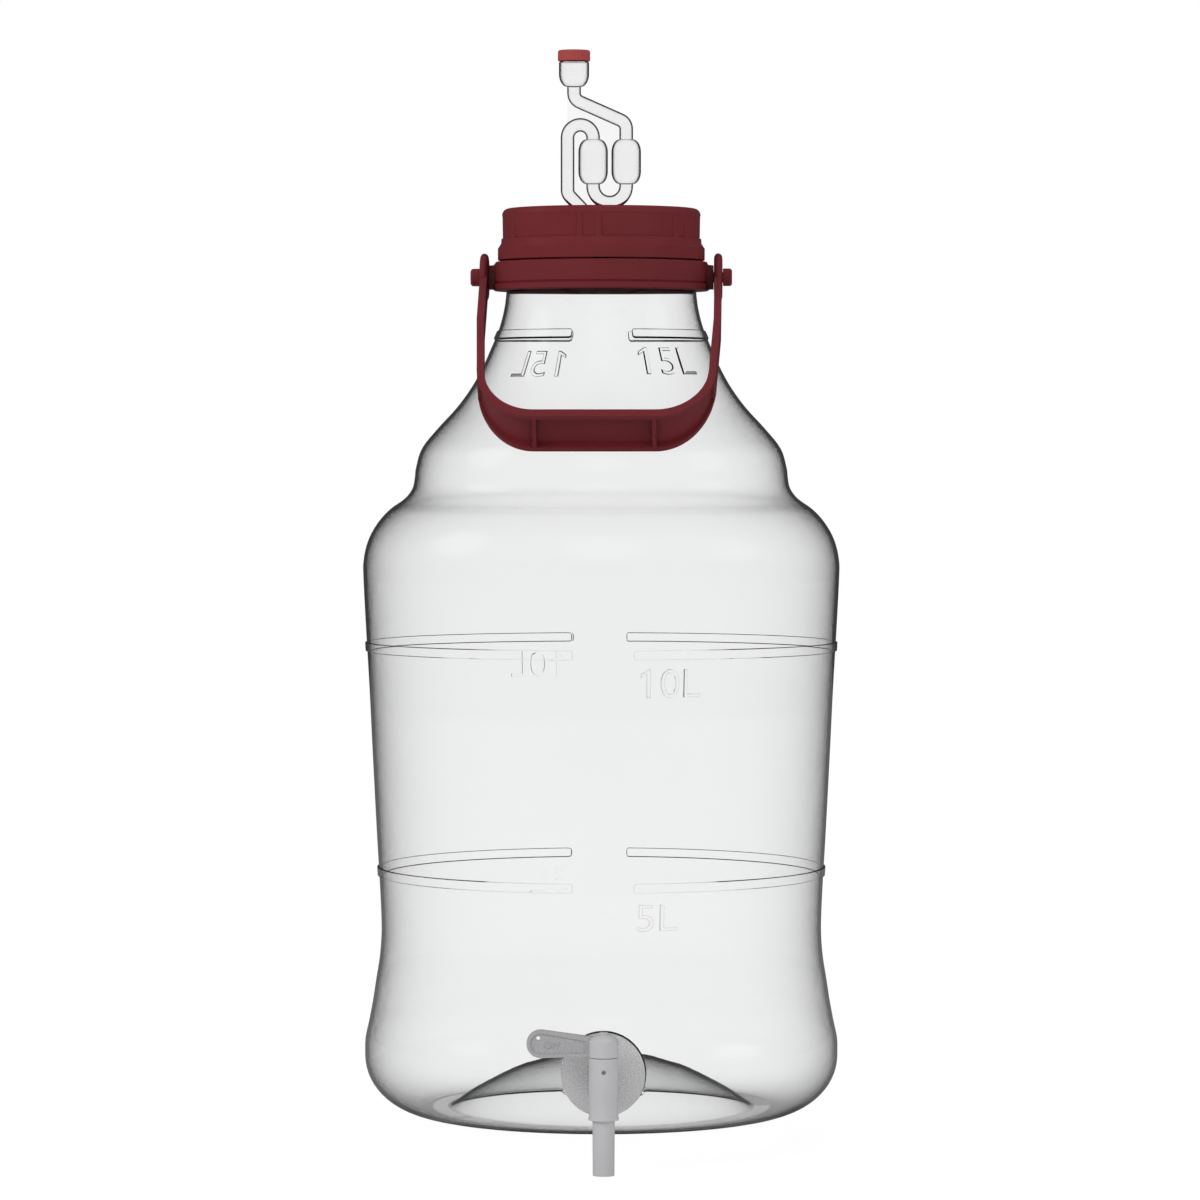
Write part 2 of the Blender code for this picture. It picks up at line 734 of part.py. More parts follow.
def build_lid():
    skirt_r = LID_OUTER_R + LID_SKIRT_OUT
    top_r = LID_OUTER_R - LID_DRAFT
    flare_z = LID_BOTTOM_Z + LID_SKIRT_H
    straight_z = flare_z + LID_FLARE_H
    ridge_z = RIM_Z - THREAD_TOP - THREAD_H - (THREAD_PITCH - THREAD_H) / 2
    floor_low_z = WELL_FLOOR_Z - WELL_FLOOR_T
    edge = arc((top_r - LID_EDGE_R, LID_TOP_Z - LID_EDGE_R), (LID_EDGE_R, LID_EDGE_R), 90, 0, 4)
    outline = [(WELL_R, LID_TOP_Z)] + edge + [
        (LID_OUTER_R, straight_z), (skirt_r, flare_z), (skirt_r, LID_BOTTOM_Z),
        (skirt_r - LID_WALL, LID_BOTTOM_Z), (skirt_r - LID_WALL, flare_z),
        (LID_INNER_R, straight_z), (LID_INNER_R, ridge_z - LID_THREAD_H / 2),
        (LID_INNER_R - LID_THREAD_PROUD, ridge_z), (LID_INNER_R, ridge_z + LID_THREAD_H / 2),
        (LID_INNER_R, LID_CEILING_Z), (WELL_R + WELL_WALL, LID_CEILING_Z),
        (WELL_R + WELL_WALL, floor_low_z), (GROMMET_HOLE_R, floor_low_z),
        (GROMMET_HOLE_R, WELL_FLOOR_Z), (WELL_R, WELL_FLOOR_Z),
    ]
    lid = turned("lid", outline, closed=True)

    # Recess the side between the grip ribs
    panel_high = LID_TOP_Z - PANEL_DROP
    panel_low = panel_high - PANEL_H
    out_r = LID_OUTER_R + OVERRUN
    panel_r = top_r - PANEL_DEPTH
    panel_low_r = LID_OUTER_R - PANEL_DEPTH - LID_DRAFT / 4
    ring = [(out_r, panel_high), (out_r, panel_low), (panel_low_r, panel_low), (panel_r, panel_high)]
    panels = turned("lid_panels", ring, closed=True)
    ribs = []
    for group in range(LID_RIB_GROUPS):
        for side in (-1, 1):
            turn = LID_RIB_TURN + side * LID_RIB_HALF_PITCH + group * 2 * pi / LID_RIB_GROUPS
            middle = Matrix.Translation((0, -LID_OUTER_R, (panel_high + panel_low) / 2))
            size = (LID_RIB_W, 4 * OVERRUN, PANEL_H + 2 * OVERRUN)
            ribs.append((size, Matrix.Rotation(turn, 4, "Z") @ middle))
    cut(panels, blocks("lid_ribs", ribs))
    cut(lid, panels)
    return finish(lid, DARK_RED)


def build_lid_gasket():
    outer = LID_INNER_R - LID_GASKET_INSET
    inner = outer - LID_GASKET_W
    low = RIM_Z + GAP
    high = low + LID_GASKET_T
    outline = [(outer, high), (outer, low), (inner, low), (inner, high)]
    return finish(turned("lid_gasket", outline, closed=True), WHITE_FOAM)


def build_grommet():
    bore = TUBE_R + GAP
    waist = GROMMET_HOLE_R - GAP
    seat = WELL_FLOOR_Z + GAP
    under = WELL_FLOOR_Z - WELL_FLOOR_T - GAP
    top = seat + GROMMET_FLANGE_T
    bottom = under - GROMMET_FLANGE_T
    outline = [
        (GROMMET_FLANGE_R, top), (GROMMET_FLANGE_R, seat), (waist, seat), (waist, under),
        (GROMMET_FLANGE_R, under), (waist, bottom), (bore, bottom), (bore, top),
    ]
    bush = turned("airlock_grommet", outline, closed=True, steps=SMALL_TURN_STEPS)
    return finish(bush, BLACK_RUBBER)


def bend(before, corner, after, radius, steps):
    """Points of the arc that rounds a corner of a route in the x-z plane."""
    corner = Vector(corner)
    back = (Vector(before) - corner).normalized()
    ahead = (Vector(after) - corner).normalized()
    opening = acos(max(-1, min(1, back.dot(ahead))))
    tangent = radius / tan(opening / 2)
    centre = corner + (back + ahead).normalized() * (radius / sin(opening / 2))
    start = corner + back * tangent - centre
    end = corner + ahead * tangent - centre
    first = atan2(start.y, start.x)
    sweep = atan2(end.y, end.x) - first
    if sweep > pi:
        sweep -= 2 * pi
    if sweep < -pi:
        sweep += 2 * pi
    points = []
    for step in range(steps + 1):
        angle = first + sweep * step / steps
        points.append((centre.x + radius * cos(angle), centre.y + radius * sin(angle)))
    return points


def vessel_end(x, z, way, radius, tube_r):
    """Stations that widen a vertical tube into a vessel, going up or down from z."""
    stations = []
    for step in range(VESSEL_STEPS + 1):
        angle = radians(90) * step / VESSEL_STEPS
        along = VESSEL_ROUND * (1 - cos(angle))
        stations.append((x, z + way * along, tube_r + (radius - tube_r) * sin(angle)))
    return stations


def vessel(x, start, end, radius, tube_r):
    """Stations of a round-ended chamber on a vertical run of tube from start to end."""
    way = 1 if end > start else -1
    first = vessel_end(x, start, way, radius, tube_r)
    last = vessel_end(x, end, -way, radius, tube_r)
    return first + last[::-1]


def airlock_route(shrink, overrun):
    """The airlock's centre line from the cup's mouth to the stem's tip, as (x, z, radius)."""
    tube_r = TUBE_R - shrink
    stem_z = WELL_FLOOR_Z + STEM_RISE
    leg_z = stem_z + LEG_RISE
    chamber_x = LEG_OFFSET - 2 * LOOP_R
    far_x = 2 * RETURN_R - chamber_x
    return_z = leg_z - RETURN_DROP
    chamber_low = return_z + RETURN_R + CHAMBER_ABOVE_RETURN
    chamber_high = chamber_low + CHAMBER_H
    loop_z = chamber_high + LOOP_ABOVE_CHAMBER + LOOP_R
    cross_low = chamber_high + CROSS_RISE
    cross_high = cross_low + CROSS_CLIMB
    cup_low = cross_high + CUP_ABOVE_CROSS
    cup_high = cup_low + CUP_H
    mouth = (-CUP_OFFSET, cup_high)
    top_turn = (-CUP_OFFSET, cross_high)
    right_turn = (far_x, cross_low)
    return_right = (far_x, return_z)
    return_left = (-chamber_x, return_z)
    loop_right = (-chamber_x, loop_z)
    loop_left = (-LEG_OFFSET, loop_z)
    leg_turn = (-LEG_OFFSET, leg_z)
    stem_turn = (0, stem_z)
    tip = (0, stem_z - STEM_LENGTH)

    def plain(points):
        return [(x, z, tube_r) for x, z in points]

    rim_z = cup_high - CAP_H + CAP_T
    rim_r = CUP_R - CUP_RIM_IN - shrink
    cup_r = CUP_R - shrink
    if shrink:
        cup_r = rim_r
    route = [(-CUP_OFFSET, cup_high + overrun, rim_r), (-CUP_OFFSET, rim_z, rim_r)]
    route.append((-CUP_OFFSET, rim_z - CUP_RIM_IN, cup_r))
    route += vessel_end(-CUP_OFFSET, cup_low, 1, cup_r, tube_r)[::-1]
    route += plain(bend(mouth, top_turn, right_turn, TUBE_BEND_R, CORNER_STEPS))
    route += plain(bend(top_turn, right_turn, return_right, TUBE_BEND_R, CORNER_STEPS))
    route += vessel(far_x, chamber_high, chamber_low, CHAMBER_R - shrink, tube_r)
    route += plain(bend(right_turn, return_right, return_left, RETURN_R, RETURN_STEPS))
    route += plain(bend(return_right, return_left, loop_right, RETURN_R, RETURN_STEPS))[1:]
    route += vessel(-chamber_x, chamber_low, chamber_high, CHAMBER_R - shrink, tube_r)
    route += plain(bend(return_left, loop_right, loop_left, LOOP_R, RETURN_STEPS))
    route += plain(bend(loop_right, loop_left, leg_turn, LOOP_R, RETURN_STEPS))[1:]
    route += plain(bend(loop_left, leg_turn, stem_turn, TUBE_BEND_R, CORNER_STEPS))
    route += plain(bend(leg_turn, stem_turn, tip, TUBE_BEND_R, CORNER_STEPS))
    route.append((tip[0], tip[1] - overrun, tube_r))
    corners = {
        "cup": (-CUP_OFFSET - TUBE_R, cup_low), "loop": (-LEG_OFFSET, loop_z - LOOP_R),
        "leg": leg_turn, "stem": stem_turn, "return": (RETURN_R - chamber_x, return_z),
        "far": (far_x, return_z + RETURN_R), "right": right_turn, "top": top_turn,
        "mouth": mouth,
    }
    return route, corners


def build_airlock():
    route, corners = airlock_route(0, 0)
    airlock = tube("airlock", route)
    names = ("cup", "loop", "leg", "stem", "return", "far", "right", "top")
    web = plate("airlock_web", [[corners[name] for name in names]], WEB_T, FRONT_PLANE)
    join(airlock, web)
    hollow, _ = airlock_route(TUBE_WALL, OVERRUN)
    cut(airlock, tube("airlock_bore", hollow))
    return finish(airlock, CLEAR_ACRYLIC)


def build_airlock_cap():
    _, corners = airlock_route(0, 0)
    x, cup_high = corners["mouth"]
    under = cup_high + GAP
    top = under + CAP_T
    bottom = top - CAP_H
    inner = CAP_R - CAP_WALL
    outline = [
        (0, top), (CAP_R - CAP_EDGE, top), (CAP_R, top - CAP_EDGE), (CAP_R, bottom),
        (inner, bottom), (inner, under), (0, under),
    ]
    place = Matrix.Translation((x, 0, 0))
    cap = turned("airlock_cap", outline, steps=SMALL_TURN_STEPS, turn=place)
    return finish(cap, BRIGHT_RED, origin=(x, 0, bottom))


def build_tap_body():
    """Shank, flange and neck turned about the line to the front, joined to an upright barrel."""
    shank_end = NUT_FACE - NUT_T - SHANK_END
    neck_end = TAP_REACH - BARREL_R / 4
    outline = [
        (0, neck_end), (TAP_NECK_R, neck_end), (TAP_NECK_R, FLANGE_FACE),
        (FLANGE_R - FLANGE_EDGE, FLANGE_FACE), (FLANGE_R, FLANGE_FACE - FLANGE_EDGE),
        (FLANGE_R, FLANGE_BACK), (SHANK_R, FLANGE_BACK), (SHANK_R, shank_end),
        (SHANK_BORE_R, shank_end), (SHANK_BORE_R, FLANGE_BACK), (0, FLANGE_BACK),
    ]
    at_tap = Matrix.Translation((0, 0, TAP_Z)) @ TOWARDS_FRONT
    body = turned("tap_body", outline, turn=at_tap)
    lip_r = BARREL_R + BARREL_LIP
    lip_z = BARREL_BOTTOM_Z + BARREL_LIP_H
    barrel_outline = [
        (0, BARREL_TOP_Z), (BARREL_R, BARREL_TOP_Z), (BARREL_R, lip_z + BARREL_LIP),
        (lip_r, lip_z), (lip_r, BARREL_BOTTOM_Z), (0, BARREL_BOTTOM_Z),
    ]
    at_barrel = Matrix.Translation((0, -TAP_REACH, 0)) @ HALF_SIDE
    join(body, turned("barrel", barrel_outline, steps=SMALL_TURN_STEPS, turn=at_barrel))
    bore_h = BARREL_TOP_Z - BARREL_BOTTOM_Z + 2 * OVERRUN
    bore_middle = (0, -TAP_REACH, (BARREL_TOP_Z + BARREL_BOTTOM_Z) / 2)
    port_back = FLANGE_BACK - OVERRUN
    port_middle = (0, -(TAP_REACH + port_back) / 2, TAP_Z)
    port_length = TAP_REACH - port_back
    bore = rod("barrel_bore", PLUG_R + GAP, bore_middle, bore_h, HALF_SIDE)
    join(bore, rod("barrel_port", PORT_R, port_middle, port_length, TOWARDS_FRONT @ HALF_SIDE))
    cut(body, bore)
    dimple_middle = (0, -TAP_REACH - BARREL_R, TAP_Z + DIMPLE_RISE)
    dimple_turn = TOWARDS_FRONT @ HALF_SIDE
    cut(body, rod("dimple", DIMPLE_R, dimple_middle, 2 * DIMPLE_DEPTH, dimple_turn))
    return finish(body, LIGHT_GREY)


def lever_outline(margin):
    """The lever seen from the front, drawn in by a margin; its root is inside the cap."""
    end_r = LEVER_END_R - margin
    end_z = CAP_BOTTOM_Z + LEVER_END_R - GAP
    root_x = -LEVER_ROOT_IN if not margin else -BARREL_R - margin
    root_high = CAP_BOTTOM_Z + LEVER_ROOT_H - margin
    root_low = CAP_BOTTOM_Z + GAP + margin
    rise = LEVER_END_R - LEVER_ROOT_H / 2
    tilt = degrees(atan2(rise, LEVER_REACH))
    end = arc((-LEVER_REACH, end_z), (end_r, end_r), 90 - 2 * tilt, 270, LEVER_END_STEPS)
    return [(root_x, root_high)] + end + [(root_x, root_low)]


def ring_groove(z):
    """A groove for a sealing ring, going down the plug's side."""
    floor = PLUG_R - RING_GROOVE_DEPTH
    half = RING_GROOVE_H / 2
    return [(PLUG_R, z + half), (floor, z + half), (floor, z - half), (PLUG_R, z - half)]


def build_tap_valve():
    """Cap, plug and spout in one turned piece, with the lever joined to the cap."""
    dome_z = CAP_BOTTOM_Z + CAP_STRAIGHT
    cap_top = dome_z + CAP_DOME
    dome = arc((0, dome_z), (BARREL_R, CAP_DOME), 90, 0, 5)
    bore_top = TAP_Z + PLUG_BORE_ABOVE
    outline = [(0, cap_top + PIP_H), (PIP_R, cap_top + PIP_H), (PIP_R, cap_top)] + dome[2:]
    outline += [(BARREL_R, CAP_BOTTOM_Z), (PLUG_R, CAP_BOTTOM_Z)]
    outline += ring_groove(PLUG_TOP_RING_Z) + ring_groove(PLUG_LOW_RING_Z)
    outline += [
        (PLUG_R, BARREL_BOTTOM_Z), (SPOUT_TIP_R, -SPOUT_DROP), (SPOUT_BORE_R, -SPOUT_DROP),
        (SPOUT_BORE_R, BARREL_BOTTOM_Z - OVERRUN), (PLUG_BORE_R, BARREL_BOTTOM_Z),
        (PLUG_BORE_R, bore_top), (0, bore_top),
    ]
    valve = turned("tap_valve", outline, steps=SMALL_TURN_STEPS)
    lever = plate("lever", [lever_outline(0)], LEVER_T, FRONT_PLANE)
    face = LEVER_T / 2
    for side, sign in (("front", -1), ("back", 1)):
        recess = plate("lever_recess_" + side, [lever_outline(LEVER_RIM)], 2 * LEVER_RECESS, FRONT_PLANE)
        recess.matrix_world = Matrix.Translation((0, sign * face, 0)) @ recess.matrix_world
        cut(lever, recess)
    hole_z = CAP_BOTTOM_Z + LEVER_END_R + LEVER_HOLE_RISE
    hole = (-(LEVER_REACH + LEVER_HOLE_OUT), 0, hole_z)
    cut(lever, rod("lever_hole", LEVER_HOLE_R, hole, LEVER_T + 2 * OVERRUN, TOWARDS_FRONT))
    join(valve, lever)
    port = rod("plug_port", PORT_R, (0, PLUG_R / 2, TAP_Z), PLUG_R + OVERRUN, TOWARDS_FRONT)
    cut(valve, port)
    finish(valve, LIGHT_GREY)
    valve.location = (0, -TAP_REACH, 0)
    return valve


def build_tap_ring(name, z):
    """A rubber sealing ring in one of the plug's grooves."""
    middle = PLUG_R + GAP / 2 - RING_R
    outline = arc((middle, z), (RING_R, RING_R), 90, -210, 5)
    ring = turned(name, outline, closed=True, steps=SMALL_TURN_STEPS)
    finish(ring, BLACK_RUBBER)
    ring.location = (0, -TAP_REACH, 0)
    return ring


def build_washer(name, radius, face, slip):
    """A flat washer on the shank, with its front at a distance from the bottle's axis."""
    bore = SHANK_R + GAP + slip
    outline = [(radius, face), (radius, face - WASHER_T), (bore, face - WASHER_T), (bore, face)]
    place = Matrix.Translation((slip, 0, TAP_Z + slip)) @ TOWARDS_FRONT
    washer = turned(name, outline, closed=True, turn=place)
    return finish(washer, BLACK_RUBBER)


def build_nut():
    middle = (0, -(NUT_FACE - NUT_T / 2), TAP_Z)
    nut = rod("tap_nut", NUT_R, middle, NUT_T, TOWARDS_FRONT, NUT_SIDES)
    cut(nut, rod("nut_bore", SHANK_R + GAP, middle, NUT_T + 2 * OVERRUN, TOWARDS_FRONT, TURN_STEPS))
    return finish(nut, LIGHT_GREY)


clear_scene()
PIECES = new_collection("demijohn")
CUTTERS = new_collection("cutters")

pieces = [
    build_bottle(),
    build_collar(),
    build_handle(),
    build_lid(),
    build_lid_gasket(),
    build_grommet(),
    build_airlock(),
    build_airlock_cap(),
    build_tap_body(),
    build_tap_valve(),
    build_tap_ring("tap_oring_upper", PLUG_TOP_RING_Z),
    build_tap_ring("tap_oring_lower", PLUG_LOW_RING_Z),
    build_washer("tap_outer_gasket", OUTER_WASHER_R, PAD_FACE + GAP + WASHER_T, WASHER_SLIP),
    build_washer("tap_inner_gasket", INNER_WASHER_R, PAD_BACK - GAP, 0),
    build_nut(),
]

frame = bpy.data.objects.new("demijohn_frame", None)
PIECES.objects.link(frame)
frame.location = (0, FRAME_Y, FRAME_Z)
for piece in pieces:
    piece.parent = frame
bpy.context.view_layer.update()
print("handle rest angle", round(degrees(handle_rest_angle()), 2))
print("frame offset", round(FRAME_Y, 5), round(FRAME_Z, 5))
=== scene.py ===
from math import acos, asin, atan2, cos, degrees, hypot, pi, radians, sin, sqrt, tan

import bmesh
import bpy
from mathutils import Euler, Matrix, Vector


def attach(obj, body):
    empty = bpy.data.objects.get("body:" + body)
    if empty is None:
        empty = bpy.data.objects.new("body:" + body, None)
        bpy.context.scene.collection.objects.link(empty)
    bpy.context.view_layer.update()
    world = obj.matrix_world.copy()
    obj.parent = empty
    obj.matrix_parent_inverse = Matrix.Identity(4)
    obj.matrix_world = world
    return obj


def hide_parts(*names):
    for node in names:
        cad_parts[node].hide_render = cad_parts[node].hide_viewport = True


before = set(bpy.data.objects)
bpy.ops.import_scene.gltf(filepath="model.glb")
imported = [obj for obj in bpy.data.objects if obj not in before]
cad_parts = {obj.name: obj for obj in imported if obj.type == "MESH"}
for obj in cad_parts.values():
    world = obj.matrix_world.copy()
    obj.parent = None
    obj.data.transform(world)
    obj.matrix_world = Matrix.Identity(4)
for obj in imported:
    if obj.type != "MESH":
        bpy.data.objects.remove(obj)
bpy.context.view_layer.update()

# The model's frame: the bottle's axis, and the height of the ring it stands on
AXIS_Y = 0.01335
BASE_Z = 0.0133
HOME = Matrix.Translation((0, AXIS_Y, BASE_Z))

# Resolution and shared clearances
GAP = 0.0003
OVERRUN = 0.002
MERGE_DISTANCE = 0.000002
ROUND_STEPS = 144
SMALL_ROUND_STEPS = 64
CORNER_STEPS = 8
BEND_STEPS = 20
SMALL_EDGE_STEPS = 4
EDGE_STEPS = 10
DOME_STEPS = 16
ANGLE_SPACING = radians(0.3)
SHARP_ANGLE = radians(32)

# Bottle: wall, base and heel
WALL = 0.0015
FOOT_OUTER_R = 0.0880
FOOT_W = 0.0080
FOOT_ROUND = 0.0060
PUNT_RISE = 0.0295
PUNT_STEPS = 14
PUNT_CORNER_STEPS = 5
HEEL_R = 0.1226
HEEL_RISE = 0.0301
HEEL_LAND = 0.0060

# Bottle: waist, shoulder, the step under the neck, and the neck
WAIST_R = 0.1140
WAIST_Z = 0.0980
SHOULDER_R = 0.1233
SHOULDER_Z = 0.2820
STEP_R = 0.0966
STEP_Z = 0.3287
NECK_R = 0.0490
NECK_Z = 0.4257

# Outlines between those places: (share of the change in radius, share of the rise)
HEEL_TO_WAIST_SHARES = ((0.267, 0.204), (0.488, 0.370), (0.674, 0.540), (0.872, 0.709), (0.970, 0.850))
WAIST_TO_SHOULDER_SHARES = (
    (0.075, 0.098), (0.235, 0.239), (0.380, 0.380), (0.520, 0.522), (0.650, 0.663), (0.850, 0.840),
)
SHOULDER_TO_STEP_SHARES = (
    (0.012, 0.107), (0.049, 0.223), (0.112, 0.334), (0.210, 0.445), (0.348, 0.557), (0.539, 0.668),
    (0.810, 0.779), (0.955, 0.889),
)
STEP_TO_NECK_SHARES = (
    (0.012, 0.053), (0.080, 0.161), (0.254, 0.268), (0.452, 0.374), (0.613, 0.481), (0.735, 0.588),
    (0.832, 0.694), (0.921, 0.801), (0.977, 0.909),
)
CURVE_STEPS = 4

# Bottle: graduation bands with rounded ends
BAND_HEIGHTS = (0.1257, 0.2420, 0.4028)
BAND_H = 0.0050
BAND_PROUD = 0.0009
BAND_TOP_PROUD = (0.0009, 0.0009, 0.0007)
BAND_CHAMFER = 0.0004
BAND_LOW_CHAMFER = (0.0004, 0.0004, 0.0010)
BAND_BREAK = 0.0302
BAND_END_R = 0.0015
BAND_END_MIDDLE_SHARE = 0.7
BAND_MARGIN = 0.0008
# Shares of a band's height above the skin between which its sloping faces get painted shade
BAND_EDGE_SHARES = (0.1, 0.75)

# Bottle: raised figures beside the bands, with their angles, heights and rise on the far side
FIGURE_PROUD = 0.0008
FAINT_FIGURE_PROUD = 0.00025
FIGURES = (
    ("5L", (radians(8.3), radians(18.9), 0.1041, 0.1175), FAINT_FIGURE_PROUD),
    ("10L", (radians(8.9), radians(23.6), 0.2207, 0.2351), FAINT_FIGURE_PROUD),
    ("15L", (radians(17.9), radians(49.6), 0.3818, 0.3957), FIGURE_PROUD),
)
FIGURE_CHAMFER = 0.00035
FIGURE_ROOT = 0.0006
# Margin and shares of the figures' height above the skin that mark the top figures' sloping faces for
# painted shade
FIGURE_MARGIN = radians(1)
FIGURE_EDGE_SHARES = (0.1, 0.9)
ONE_SHAPE = ((0.202, 0), (0.3, 0), (0.3, 0.682), (0.235, 0.682), (0.07, 0.57), (0.07, 0.47), (0.202, 0.56))
ONE_ADVANCE = 0.5
CAP_SHARE = 0.73
LETTER_STEPS = 5
LETTER_DEPTH = 2

# Bottle: neck bead and threaded finish
BEAD_H = 0.0029
BEAD_OUT = 0.0023
FINISH_IN = 0.0025
FINISH_H = 0.0228
THREAD_PROUD = 0.0017
THREAD_H = 0.0032
THREAD_PITCH = 0.0060
THREAD_TOP = 0.0050
THREAD_COUNT = 2

# Collar round the neck, with a pin on each side for the handle
COLLAR_H = 0.0149
COLLAR_WALL = 0.0057
COLLAR_LIP = 0.0008
COLLAR_LIP_H = 0.0030
COLLAR_GROOVE = 0.0006
COLLAR_EDGE = 0.0006
COLLAR_YAW = radians(-2.4)
PIN_RISE = 0.0070
PIN_R = 0.00275
BOSS_OUT = 0.0030
BOSS_R = 0.0062
BOSS_ROOT_R = 0.0068
LUG_TOP = 0.0042
PIN_HEAD_R = 0.00455
PIN_HEAD_T = 0.0047
PIN_HEAD_EDGE = 0.0009

# Swing handle
HANDLE_REST = radians(52.1)
ARM_T = 0.0037
ARM_W = 0.0145
EYE_R = 0.0124
EYE_PROUD = 0.0003
EYE_EDGE = 0.0024
GRIP_REACH = 0.1253
GRIP_DEPTH = 0.0065
GRIP_W = 0.0224
GRIP_FLAT = 0.0610
INNER_BEND = 0.0410
OUTER_BEND = 0.0480
TAPER_LENGTH = 0.0340
ARM_LEAN = 0.0018
LEAN_FROM = 0.0450
GRIP_WALL = 0.00235
GRIP_RIB_T = 0.0020
GRIP_RIB_INSET = 0.0006
CHANNEL_RUN = 0.0280

# Lid
LID_LIFT_GAP = 0.0007
LID_T = 0.0025
LID_GASKET_T = 0.0014
LID_WALL = 0.0022
LID_CLEARANCE = 0.0031
LID_DRAFT = 0.0005
LID_SKIRT_OUT = 0.0017
LID_SKIRT_H = 0.0060
LID_FLARE_H = 0.0026
LID_EDGE_R = 0.0033
WELL_R = 0.0270
WELL_DEPTH = 0.0147
WELL_FLOOR_T = 0.0020
WELL_WALL = 0.0020
WELL_EDGE = 0.0008
PANEL_DEPTH = 0.0008
PANEL_TOP_DEPTH = 0.0002
PANEL_H = 0.0120
PANEL_DROP = 0.0037
PANEL_EDGE = 0.0003
LID_RIB_W = 0.0026
LID_RIB_SLOPE = 0.0005
LID_RIB_GROUPS = 6
LID_RIB_HALF_PITCH = radians(5.5)
LID_RIB_TURN = radians(-7.5)
GROMMET_HOLE_R = 0.0068

# Airlock: one tube with a cup and two chambers, and a thin web between its runs
TUBE_R = 0.00355
TUBE_WALL = 0.0006
STEM_RISE = 0.0042
STEM_LENGTH = 0.0285
LEG_OFFSET = 0.01745
LEG_RISE = 0.0183
LOOP_R = 0.0066
RETURN_R = 0.00855
RETURN_DROP = 0.0045
CHAMBER_R = 0.00765
CHAMBER_H = 0.0230
CHAMBER_ABOVE_RETURN = 0.0010
LOOP_ABOVE_CHAMBER = 0.0009
CROSS_RISE = 0.0087
CROSS_CLIMB = 0.0119
CUP_OFFSET = 0.0141
CUP_R = 0.0078
CUP_H = 0.0175
CUP_ABOVE_CROSS = 0.0065
CUP_RIM_IN = 0.0005
VESSEL_ROUND = 0.0066
TUBE_BEND_R = 0.0050
RETURN_STEPS = 12
VESSEL_STEPS = 9
TUBE_STEPS = 32
WEB_T = 0.0008

# Cap over the airlock's cup
CAP_R = 0.00835
CAP_WALL = 0.00075
CAP_H = 0.00555
CAP_T = 0.0010
CAP_EDGE = 0.0006
CAP_RIBS = 28
CAP_RIB_STEPS = 6
CAP_RIB_DEPTH = 0.0003

# Tap: place on the bottle, its flat pad, and its shank
TAP_Z = 0.0345
PAD_FACE = 0.1229
PAD_R = 0.0210
PAD_WALL = 0.0025
PAD_RIM = 0.0016
SHANK_R = 0.0080
SHANK_BORE_R = 0.0055
SHANK_END = 0.0030
WASHER_T = 0.0015
NUT_T = 0.0080

# Tap: flange, neck and barrel
FLANGE_R = 0.02075
FLANGE_T = 0.0030
TAP_NECK = 0.0073
TAP_NECK_R = 0.0065
PORT_R = 0.0030
BARREL_R = 0.0072
BARREL_BELOW = 0.0203
BARREL_ABOVE = 0.01035
BARREL_LIP = 0.0003
BARREL_LIP_H = 0.0012
DIMPLE_R = 0.0011
DIMPLE_DEPTH = 0.0016
DIMPLE_RISE = 0.0038

# Tap: turning plug with cap, lever and spout
PLUG_R = 0.0055
PLUG_BORE_R = 0.0034
PLUG_BORE_ABOVE = 0.0045
RING_GROOVE_DEPTH = 0.0011
RING_GROOVE_H = 0.0014
RING_FROM_TOP = 0.0035
RING_FROM_BOTTOM = 0.0050
CAP_STRAIGHT = 0.0073
CAP_DOME = 0.0042
PIP_R = 0.0020
PIP_H = 0.0008
SPOUT_TIP_R = 0.00535
SPOUT_BORE_R = 0.0040
SPOUT_DROP = 0.0133
LEVER_REACH = 0.0310
LEVER_END_R = 0.00695
LEVER_ROOT_H = 0.0098
LEVER_ROOT_IN = 0.0030
LEVER_T = 0.0030
LEVER_RIM = 0.0018
LEVER_RECESS = 0.0006
LEVER_HOLE_R = 0.0010
LEVER_HOLE_OUT = 0.0012
LEVER_HOLE_RISE = 0.0025
LEVER_WORD = ("ON", (-0.0293, -0.0220, 0.0493, 0.0527))
LEVER_WORD_PROUD = 0.0003
LEVER_WORD_CHAMFER = 0.0001

# Fine edges
SOFT_EDGE = 0.0004
FINE_EDGE = 0.0002
EDGE_SEGMENTS = 2

# Materials: uneven shades and gloss, and bumps as (scale, depth)
NOISE_RANGE = (0.3, 0.7)
GLOSS_PATCHES = 220
GLOSS_CHANGE = 0.04
FINE_GRAIN = (2500, 0.00001)
SPECKLED_GRAIN = (1400, 0.0001)
FOAM_GRAIN = (900, 0.0002)
SPECKLES = 1500
BOTTLE_WAVES = (25, 0.00003)
AIRLOCK_WAVES = (80, 0.00001)
CLEAR_PATCHES = 12
CLEAR_CHANGE = 0.004
CLEAR_IOR = 1.5
# Painted shade on clear plastic seen edge on: the Layer Weight blend, and the facing range over which it
# deepens
RIM_BLEND = 0.5
RIM_RANGE = (0.45, 0.75)

# Places worked out from those sizes
FOOT_INNER_R = FOOT_OUTER_R - FOOT_W
COLLAR_TOP_Z = NECK_Z + COLLAR_H
BEAD_TOP_Z = COLLAR_TOP_Z + GAP / 2
BEAD_Z = BEAD_TOP_Z - BEAD_H
BEAD_R = NECK_R + BEAD_OUT
FINISH_R = NECK_R - FINISH_IN
RIM_Z = BEAD_TOP_Z + FINISH_H
LID_CEILING_Z = RIM_Z + GAP + LID_GASKET_T + GAP
LID_TOP_Z = LID_CEILING_Z + LID_T
LID_BOTTOM_Z = BEAD_TOP_Z + LID_LIFT_GAP
LID_INNER_R = FINISH_R + LID_CLEARANCE
LID_OUTER_R = LID_INNER_R + LID_WALL
WELL_FLOOR_Z = LID_TOP_Z - WELL_DEPTH
COLLAR_R = NECK_R + GAP + COLLAR_WALL
